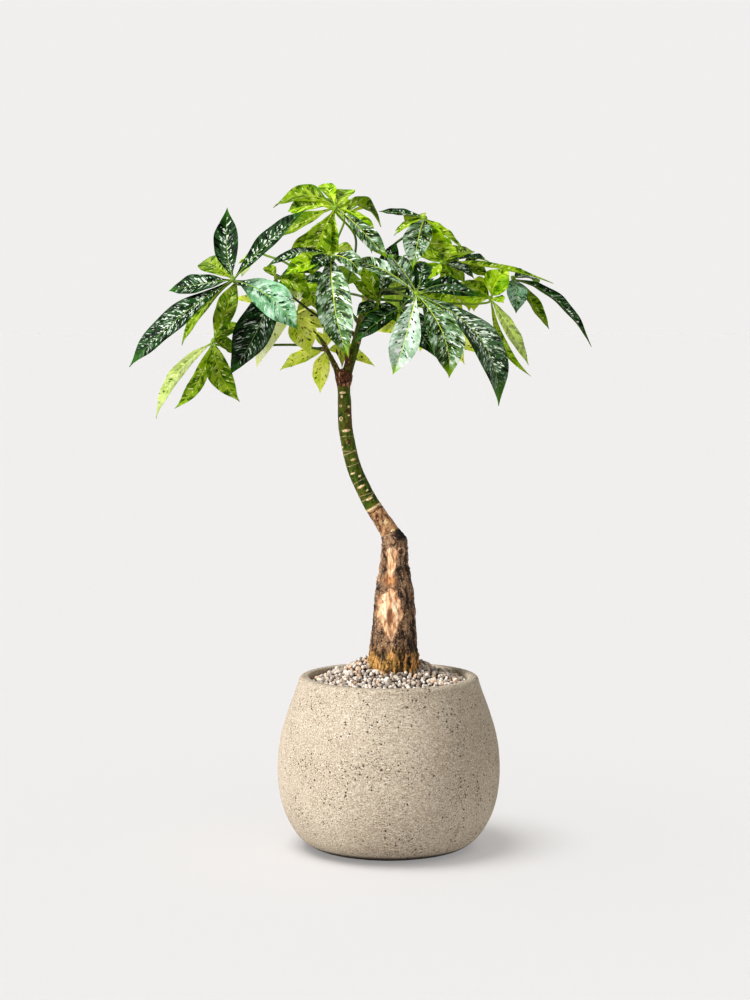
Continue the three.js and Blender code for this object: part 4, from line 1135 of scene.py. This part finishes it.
def raise_knots(relief, x, height, front):
    """Adds the knots' rings to the relief, and gives how light they are."""
    light = 0 * height
    for centre_height, centre_x, radius, width, lightness in KNOTS:
        away = np.hypot(x - centre_x, height - centre_height)
        ring = np.exp(-((away - radius) / width) ** 2) * front
        relief += 1.4 * ring
        light = np.maximum(light, lightness * ring)
    return light


def make_rootstock(paint):
    """The old trunk: fluted and cracked bark, a gnarled golden foot, wounds with rolled lips, a cut shoot."""
    path = Path([(x, 0, height) for x, height, _ in ROOTSTOCK], 30)
    butt_rows = np.linspace(0, BUTT_SHARE, BUTT_ROWS)[:-1]
    rows = np.concatenate([butt_rows, np.linspace(BUTT_SHARE, 1, ROOTSTOCK_ROWS)])
    centres = path.at(rows)
    radii = curve_through([row[1:] for row in ROOTSTOCK], centres[:, 2])
    angle = from_front(ROOTSTOCK_SIDES)
    height = centres[:, 2][:, None] + 0 * angle
    across = radii[:, None] * np.sin(angle)
    x = across + centres[:, :1]
    front = np.cos(angle) > 0
    spot = np.stack([across, np.cos(angle) * radii[:, None], height], axis=-1)

    foot = 1 - smooth(*GOLD_HEIGHTS, height + 16 * grain(spot, 9, 21, 3))
    relief, groove = bark_relief(spot, angle, height, foot, smooth(*TOP_HEIGHTS, height))
    relief, wood, cut_in, callus = cut_wounds(relief, spot, x, height, front)
    light = raise_knots(relief, x, height, front)
    relief *= smooth(0, 0.02, 1 - rows)[:, None] * 0.85 + 0.15
    relief *= smooth(*BUTT_HEIGHTS, height)
    points = tube_points(path, rows, radii, ROOTSTOCK_SIDES, relief)
    beyond = np.maximum((points - KNUCKLE) @ KNUCKLE_AIM, 0)
    points -= beyond[..., None] * KNUCKLE_AIM
    bared = np.clip(wood + 0.8 * callus + light, 0, 1)
    charred = smooth(*CHARRED_X, x) * smooth(*CHARRED_HEIGHTS, height)
    shape = Shape()
    # The third bark value, groove depth, is where the bark paint lays its painted shade.
    shape.add(points, tube_faces(len(rows), ROOTSTOCK_SIDES),
              bark=np.stack([bared, foot, groove * (1 - wood)], axis=-1),
              wound=np.stack([cut_in, charred, callus], axis=-1))
    cut_shoot_parts(shape)
    keep(shape.build("old_rootstock", paint), "bark", "rootstock")


def cut_shoot_parts(shape):
    """The black stub of a shoot that was cut off at the knuckle."""
    shoot = Path(CUT_SHOOT)
    shares = np.linspace(0, 1, 26)
    radii = (CUT_SHOOT_RADIUS - shares) * closing(shares, 9, 1.03)
    ring_places = shoot.at(shares)[:, None] + np.arange(CUT_SHOOT_SIDES)[None, :, None] * 0.6
    rough = 0.7 * grain(ring_places, 3, 17, 2) * smooth(0, 0.1, 1 - shares)[:, None]
    shape.add_tube(shoot, shares, radii, CUT_SHOOT_SIDES, rough, bark=(0, 0, 0), wound=(0, 0.92, 0))


class StemSkin:
    """The stem's own body from the knuckle to the node: its line, and the marks at each of its points."""

    def __init__(self):
        knots = STEM_FOOT + STEM
        self.path = Path([(x, depth, height) for x, height, depth, _ in knots])
        self.rows = np.linspace(0, 1, STEM_ROWS)
        self.centres = self.path.at(self.rows)
        self.radii = curve_through([(height, radius) for _, height, _, radius in knots], self.centres[:, 2])
        self.angle = from_front(STEM_SIDES)
        self.rights = np.cross(self.path.tangent(self.rows), FRONT)
        self.arc = self.rows * self.path.length
        outward = (np.cos(self.angle)[None, :, None] * FRONT
                   + np.sin(self.angle)[None, :, None] * self.rights[:, None])
        self.spot = self.centres[:, None] + self.radii[:, None, None] * outward
        self.height = self.centres[:, 2][:, None] + 0 * self.angle
        self.uneven = self.height + 0.8 * grain(self.spot, 5, 34)
        self.tan = 1 - smooth(*TAN_HEIGHTS, self.uneven)
        self.cream = 0 * self.height
        self.relief = 0.35 * grain(self.spot, 9, 31, 2) + 0.12 * grain(self.spot, 2, 32, 2)

    def away_from(self, x, height, half_along, half_across):
        """How far each point is from a place on the stem, where 1 is the edge of its oval."""
        near = np.argmin(np.hypot(self.centres[:, 0] - x, self.centres[:, 2] - height))
        offset = (np.array([x, 0, height]) - self.centres[near]) @ self.rights[near]
        centre_angle = math.asin(np.clip(offset / self.radii[near], -0.95, 0.95))
        along = (self.arc - self.arc[near])[:, None]
        across = (self.angle - centre_angle) * self.radii[:, None]
        return np.hypot(along / half_along, across / half_across)

    def add_scars(self):
        for *scar, hollow in STEM_SCARS:
            away = self.away_from(*scar)
            mask = 1 - smooth(0.75, 1.15, away)
            if hollow:
                mask = mask * smooth(0.25, 0.7, away)
            self.cream = np.maximum(self.cream, mask)
            self.relief += 0.55 * mask

    def add_rings(self):
        """The narrow rings waver and are fainter than the others."""
        for height, half in STEM_RINGS:
            near = np.argmin(np.abs(self.centres[:, 2] - height))
            along = (self.arc - self.arc[near])[:, None] + 1.6 * np.cos(self.angle + height) * (half < 1)
            ring = np.exp(-(along / half) ** 2)
            self.relief += 0.35 * ring
            self.cream = np.maximum(self.cream, ring * (0.55 if half < 1 else 1))

    def add_cork(self):
        ragged = self.height + 3 * grain(self.spot, 6, 33, 2)
        patches = smooth(*CORK_BAND[:2], ragged) * (1 - smooth(*CORK_BAND[2:], ragged))
        flecks = smooth(*CORK_FLECK_HEIGHTS, ragged)
        cork = smooth(*CORK_HEIGHTS, ragged)
        cork = np.maximum(cork, 0.85 * smooth(0.15, 0.45, grain(self.spot, 10, 35, 2)) * patches)
        cork = np.maximum(cork, 0.8 * smooth(0.5, 0.75, grain(self.spot, 5, 36, 2)) * flecks)
        for *stain, brown in STEM_STAINS:
            away = self.away_from(*stain) + 0.4 * grain(self.spot, 3, 40)
            cork = np.maximum(cork, brown * (1 - smooth(0.5, 1.2, away)))
        self.cork = cork

    def add_cracks(self):
        for height, half in STEM_CRACKS:
            crack = np.exp(-((self.uneven - height) / half) ** 2)
            self.cork = np.maximum(self.cork, crack)
            self.relief -= 0.5 * crack

    def roughen(self):
        """The tan bark, the node and the fluted neck."""
        self.relief += self.tan * (0.7 * grain(self.spot, 7, 37, 3) + 0.4 * grain(self.spot, 2.2, 38, 2))
        self.relief += smooth(*ROUGH_HEIGHTS, self.height) * (0.8 * grain(self.spot, 6, 39, 2))
        self.relief += 0.5 * (1 - smooth(*NECK_HEIGHTS, self.height)) * np.cos(self.angle * 5 + 2)


def stem_parts(shape):
    skin = StemSkin()
    skin.add_scars()
    skin.add_rings()
    skin.add_cork()
    skin.add_cracks()
    skin.roughen()
    close = closing(skin.rows, 40, 1.004)
    shape.add_tube(skin.path, skin.rows, skin.radii * close, STEM_SIDES, skin.relief * close[:, None],
                   zone=np.stack([skin.tan, skin.cork * (1 - skin.cream), skin.cream], axis=-1))


def branch_path(name):
    return Path([sighted(row[:3]) for row in BRANCHES[name]])


def branch_radius(name, along):
    widths = [row[3] for row in BRANCHES[name]]
    return np.interp(along, np.linspace(0, 1, len(widths)), widths)


def branch_parts(shape, name, cork_share, seed):
    path = branch_path(name)
    rows = np.linspace(0, 1, BRANCH_ROWS)
    angles = ring_angles(BRANCH_SIDES)
    close = closing(rows, 30, 1.01)
    spot = path.at(rows)[:, None] + np.stack([np.sin(angles), np.cos(angles), 0 * angles], axis=-1) * 4
    knots = 0
    for share in BRANCH_KNOTS:
        away = (rows - share - 0.02 * seed % 0.1) * path.length
        knots = knots + np.exp(-(away / BRANCH_KNOT_LENGTH) ** 2)
    relief = 0.3 * grain(spot, 5, seed, 2) + 0.5 * knots[:, None]
    greening = 0.5 * rows[:, None] * (cork_share < 0.8)
    cork = np.clip(cork_share + 0.4 * grain(spot, 7, seed + 1, 2) - greening, 0, 1)
    cream = np.clip(knots[:, None] * 0.5, 0, 1) * (grain(spot, 4, seed + 2) > 0)
    radii = branch_radius(name, rows) * close
    zone = np.stack([0 * cork, cork, cream], axis=-1)
    shape.add_tube(path, rows, radii, BRANCH_SIDES, relief * close[:, None], zone=zone)


def stalk_root(leaf):
    """Where a leaf's stalk leaves its branch: the place, the way it heads and how far its stub reaches."""
    branch, at, hub, _, via, _, _ = leaf
    at_end = at == 1
    path = branch_path(branch)
    place, tangent = path.at(at), path.tangent(at)
    outward = sighted(via or hub) - place
    outward = unit(outward - tangent * (outward @ tangent))
    heading = unit(outward + tangent * (STUB_LEAN_AT_END if at_end else STUB_LEAN))
    return place, heading, (0 if at_end else float(branch_radius(branch, at))) + STUB_LENGTH


def stub_parts(shape, leaf):
    """The short swollen stub that a stalk grows from."""
    place, heading, reach = stalk_root(leaf)
    path = Path([place, place + heading * reach / 2, place + heading * (reach + 1.5)])
    rows = np.linspace(0, 1, STUB_ROWS)
    radii = np.interp(rows, [0, 0.6, 0.85, 1], [STUB_RADIUS + 0.6, STUB_RADIUS, STUB_RADIUS + 0.2, 1.4])
    shape.add_tube(path, rows, radii, STUB_SIDES, zone=(0, 0.55, 0.1))


def make_stem(paint):
    shape = Shape()
    stem_parts(shape)
    for seed, (name, cork) in enumerate(BRANCH_CORK.items()):
        branch_parts(shape, name, cork, 50 + seed)
    for leaf in (*LEAVES.values(), *YOUNG_LEAVES.values()):
        stub_parts(shape, leaf)
    keep(shape.build("green_stem", paint), "stem", "stem")


# ---------------------------------------------------------------- making the leaves


def stalk_path(leaf):
    _, _, hub, faces, via, _, _ = leaf
    place, heading, reach = stalk_root(leaf)
    start = place + heading * (reach - 0.5)
    points = [start, start + heading * PETIOLE_STRAIGHT]
    if via:
        points.append(sighted(via))
    points += [sighted(hub) - unit(faces) * PETIOLE_STRAIGHT, sighted(hub)]
    return Path(points)


def stalk_parts(shape, leaf):
    """The stalk, swollen at both ends, and the small domed hub that its leaflets grow from."""
    path = stalk_path(leaf)
    rows = np.linspace(0, 1, PETIOLE_ROWS)
    ends = np.exp(-((rows * path.length) / 6) ** 2) + 0.7 * np.exp(-(((1 - rows) * path.length) / 5) ** 2)
    radii = PETIOLE_RADIUS - 0.25 * rows + 0.95 * ends
    zone = np.repeat(np.stack([rows, 0 * rows, 0 * rows], axis=-1), PETIOLE_SIDES, axis=0)
    shape.add_tube(path, rows, radii, PETIOLE_SIDES, zone=zone)
    hub, facing = sighted(leaf[2]), unit(leaf[3])
    dome = Path([hub - facing * 2.2, hub, hub + facing * 2.4])
    rows = np.linspace(0, 1, HUB_ROWS)
    radii = HUB_RADIUS * np.sqrt(np.clip(1 - (2 * rows - 1) ** 2, 0.01, 1))
    shape.add_tube(dome, rows, radii, HUB_SIDES, zone=(1, 0, 0))


def blade_faces():
    """Faces of a leaflet: its upper side, its under side and the rim that joins them."""
    index = np.arange(BLADE_ROWS * BLADE_COLUMNS).reshape(BLADE_ROWS, BLADE_COLUMNS)
    a, b, c, d = index[:-1, :-1], index[1:, :-1], index[1:, 1:], index[:-1, 1:]
    top = np.stack([a, b, c, d], axis=-1).reshape(-1, 4)
    under = np.stack([a, d, c, b], axis=-1).reshape(-1, 4) + index.size
    loop = np.concatenate([index[0, ::-1], index[1:, 0], index[-1, 1:], index[-2:0:-1, -1]])
    after = np.roll(loop, -1)
    rim = np.stack([loop, loop + index.size, after + index.size, after], axis=-1)
    return np.concatenate([top, under, rim])


def blade_line(hub, facing, tip, bow, random):
    """Rows of places from near the hub to the tip, the ways across and out of the blade, and its length."""
    reach = tip - hub
    length = np.linalg.norm(reach)
    start = hub + reach * (LEAFLET_START / length)
    bow = facing * length * USUAL_BOW if bow is None else np.array([bow[0], bow[2], bow[1]], float)
    control = (start + tip) / 2 + 2 * bow
    t = BLADE_SHARES
    centre = (1 - t) ** 2 * start + 2 * t * (1 - t) * control + t ** 2 * tip
    tangent = unit(2 * (1 - t) * (control - start) + 2 * t * (tip - control))
    side = unit(np.cross(facing, reach))
    up = unit(np.cross(tangent, side))
    twist = random.uniform(-BLADE_TWIST, BLADE_TWIST) * t ** 1.5
    twist = twist + random.uniform(-BLADE_TWIST_AT_HUB, BLADE_TWIST_AT_HUB)
    sway = random.uniform(-BLADE_SWAY, BLADE_SWAY) * length * np.sin(math.pi * t) * t
    across = side * np.cos(twist) + up * np.sin(twist)
    over = up * np.cos(twist) - side * np.sin(twist)
    return centre + side * sway, across, over, length


def blade_section(s, width, late, random):
    """The half width at each row, and how far each point lifts: the fold, a rippled edge and its droop."""
    t, out = BLADE_SHARES, np.abs(s)
    outline = np.maximum(curve_through(BLADE_OUTLINE, t ** late), BLADE_OUTLINE[-1][1])
    phases = random.uniform(0, FULL_TURN, 2)
    beats = random.uniform(*RIPPLE_BEATS, 2)
    ripple = np.sin(FULL_TURN * np.where(s < 0, *beats) * t + np.where(s < 0, *phases))
    half = width / 2 * outline * (1 + OUTLINE_RIPPLE * ripple * out ** 4)
    fold = BLADE_FOLD * random.uniform(*FOLD_SPREAD)
    lift = 2 * half * fold * out ** 1.15
    lift = lift + MARGIN_RIPPLE * width * ripple * out ** 2.2 * smooth(0, 0.25, t) * smooth(1, 0.8, t)
    lift = lift - MARGIN_DROOP * half * np.clip(out - 0.55, 0, 1) ** 2 * random.uniform(*DROOP_SPREAD)
    return half, lift


def blade_marks(word, share, random):
    """The point values that give a leaflet its own look."""
    shade = random.uniform(-1, 1)
    first, second, third, flecked, feathered, lightness, only_side = WORDS[word]
    has_looks = np.ones(len(share)) if only_side == 0 else only_side * share[:, 0] > 0
    mark = np.stack([first * has_looks, second * has_looks, 0 * has_looks + lightness + 0.1 * shade], axis=-1)
    if word == "mint":
        mark[:, 0] *= smooth(*MINT_FADES_IN, share[:, 1])
    return mark, (flecked * random.uniform(0.7, 1.2), feathered, third)


def leaflet_parts(blades, stalks, hub, facing, row, late, random):
    """One leaflet: a folded, quilted blade bowed from the hub to its tip, and the neck that holds it."""
    x, height, depth, width, bow, word = (*row, None, None)[:6]
    centre, across, over, length = blade_line(hub, facing, sighted((x, height, depth)), bow, random)
    column = np.linspace(-1, 1, BLADE_COLUMNS)[None]
    t, s = BLADE_SHARES, np.sign(column) * np.abs(column) ** COLUMN_CROWDING
    out = np.abs(s)
    half, lift = blade_section(s, width, late, random)
    mm_across = s * half
    mm_along = t * length + 0 * s
    rank = mm_along - VEIN_LEAN * np.abs(mm_across) - VEIN_CURL * mm_across ** 2
    own = random.uniform(0, 60)
    quilt = np.cos(FULL_TURN * (rank / VEIN_SPACING + (own + np.sign(s) * SIDE_SEED) * VEIN_SHIFT - 0.5))
    lift = lift + QUILT_DEPTH * quilt * smooth(0.03, 0.3, out) * smooth(1.0, 0.8, out)
    groove = np.exp(-(mm_across / MIDRIB_WIDTH) ** 2)
    lift = lift - MIDRIB_GROOVE * groove * (1 - t)
    upper = centre[:, None] + across[:, None] * mm_across[..., None] + over[:, None] * lift[..., None]
    thick = BLADE_THICKNESS * (1 - 0.4 * out) + MIDRIB_HEIGHT * groove * (1 - 0.75 * t)
    lower = upper - over[:, None] * thick[..., None]

    share = np.stack([s + 0 * t, t + 0 * s, 1 + 0 * half], axis=-1).reshape(-1, 3)
    place = np.stack([mm_across, mm_along, own + 0 * half], axis=-1).reshape(-1, 3)
    mark, fleck = blade_marks(word, share, random)
    blades.add(np.stack([upper, lower]), BLADE_FACES, share=np.stack([share, share * (1, 1, 0)]),
               place=np.stack([place, place]), mark=np.stack([mark, mark]), fleck=fleck)
    neck = Path([hub, centre[0] - over[0] * 0.5, centre[5] - over[5] * 0.7])
    rows = np.linspace(0, 1, NECK_ROWS)
    radii = np.interp(rows, [0, 0.5, 1], [1.5, 1.25, 0.55])
    stalks.add_tube(neck, rows, radii, NECK_SIDES, zone=(1, 0, 0))


def make_leaf(number, name, leaf, blade_paints, stalk_paints):
    random = np.random.default_rng(100 + number)
    _, _, hub, faces, _, tint, rows = leaf
    blades, stalks = Shape(), Shape()
    stalk_parts(stalks, leaf)
    for row in rows:
        leaflet_parts(blades, stalks, sighted(hub), unit(faces), row, LATE_WIDENING.get(name, 1), random)
    nodes = [name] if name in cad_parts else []
    keep(blades.build(name + "_blades", blade_paints[tint], sharp=50), "leaf_" + tint, *nodes)
    keep(stalks.build(name + "_stalk", stalk_paints[tint]), "leaf_" + tint, *nodes)


# ---------------------------------------------------------------- floor, light and camera


def make_floor():
    """A wide pale floor, which the key light leaves out so that its brightness is the background's."""
    mesh = bpy.data.meshes.new("floor")
    corners = [(-FLOOR_HALF, -FLOOR_HALF, 0), (FLOOR_HALF, -FLOOR_HALF, 0),
               (FLOOR_HALF, FLOOR_HALF, 0), (-FLOOR_HALF, FLOOR_HALF, 0)]
    mesh.from_pydata(corners, [], [(0, 1, 2, 3)])
    floor = placed("floor", mesh)
    floor.location.z = -FLOOR_DROP * MM
    mesh.materials.append(Nodes("floor_paper").finish(FLOOR_COLOR, 1.0, specular=0.0))
    return floor


def group_of(name, piece, state):
    group = bpy.data.collections.new(name)
    group.objects.link(piece)
    group.collection_objects[0].light_linking.link_state = state
    return group


def add_sun(name, direction, strength, spread, receivers, color=(1, 1, 1)):
    """A lamp at no distance. direction runs from the object towards it, and spread is in degrees."""
    light = bpy.data.lights.new(name, "SUN")
    light.energy = strength
    light.angle = math.radians(spread)
    light.color = color
    lamp = placed(name, light)
    lamp.rotation_euler = Vector(direction).to_track_quat("Z", "Y").to_euler()
    lamp.light_linking.receiver_collection = receivers
    return lamp


def make_light(floor, pot):
    """An even bright room that dims overhead, a soft key from the upper left, and the floor's own lamps."""
    world = bpy.data.worlds.new("studio")
    bpy.context.scene.world = world
    world.use_nodes = True
    tree = world.node_tree
    direction = tree.nodes.new("ShaderNodeTexCoord")
    parts = tree.nodes.new("ShaderNodeSeparateXYZ")
    dimming = tree.nodes.new("ShaderNodeMapRange")
    dimming.interpolation_type = "SMOOTHSTEP"
    tree.links.new(direction.outputs["Generated"], parts.inputs[0])
    tree.links.new(parts.outputs["Z"], dimming.inputs["Value"])
    for socket, value in zip(dimming.inputs[1:5], (OVERHEAD_FROM, OVERHEAD_TO, 1.0, OVERHEAD_SHARE)):
        socket.default_value = value
    tree.nodes["Background"].inputs["Color"].default_value = WORLD_COLOR
    tree.links.new(dimming.outputs[0], tree.nodes["Background"].inputs["Strength"])

    all_but_floor = group_of("all_but_floor", floor, "EXCLUDE")
    add_sun("key", KEY_DIRECTION, KEY_STRENGTH, KEY_SPREAD, all_but_floor, KEY_COLOR)
    only_floor = group_of("only_floor", floor, "INCLUDE")
    only_pot = group_of("only_pot", pot, "INCLUDE")
    for name, direction, strength, spread in (
            ("floor_key", FLOOR_KEY_DIRECTION, FLOOR_KEY_STRENGTH, FLOOR_KEY_SPREAD),
            ("floor_sky", UP, FLOOR_SKY_STRENGTH, FLOOR_SKY_SPREAD)):
        lamp = add_sun(name, direction, strength, spread, only_floor)
        lamp.light_linking.blocker_collection = only_pot
    fill = add_sun("floor_fill", UP, FLOOR_FILL_STRENGTH, FLOOR_FILL_SPREAD, only_floor)
    fill.data.use_shadow = False


def make_camera():
    data = bpy.data.cameras.new("camera")
    data.lens = LENS
    data.sensor_width = SENSOR
    data.clip_end = FARTHEST
    camera = placed("camera", data)
    camera.location = EYE * MM
    camera.rotation_euler = Vector(LOOK_AT - EYE).to_track_quat("-Z", "Y").to_euler()
    bpy.context.scene.camera = camera


# ---------------------------------------------------------------- the whole scene

bpy.context.scene.view_settings.view_transform = "Standard"
make_camera()
floor = make_floor()
pot = make_pot(stone_paint())
make_light(floor, pot)

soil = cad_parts["soil"]
soil.data.materials.clear()
soil.data.materials.append(crumb_paint("soil_crumb", 260, 4, 0.35, (38, 28, 20), (78, 58, 42)))
make_shade_bed(crumb_paint("gravel_shade", 300, 3, 0.4, (18, 13, 10), (60, 48, 40)))
make_stones(pumice_paint())
make_rootstock(bark_paint())
make_stem(stem_paint())

BLADE_FACES = blade_faces()
blade_paints = {tint: blade_paint(tint) for tint in OTHER_LOOKS}
stalk_paints = {tint: stalk_paint("stalk_" + tint, *ends) for tint, ends in STALKS.items()}
for number, (name, leaf) in enumerate((*LEAVES.items(), *YOUNG_LEAVES.items())):
    make_leaf(number, name, leaf, blade_paints, stalk_paints)
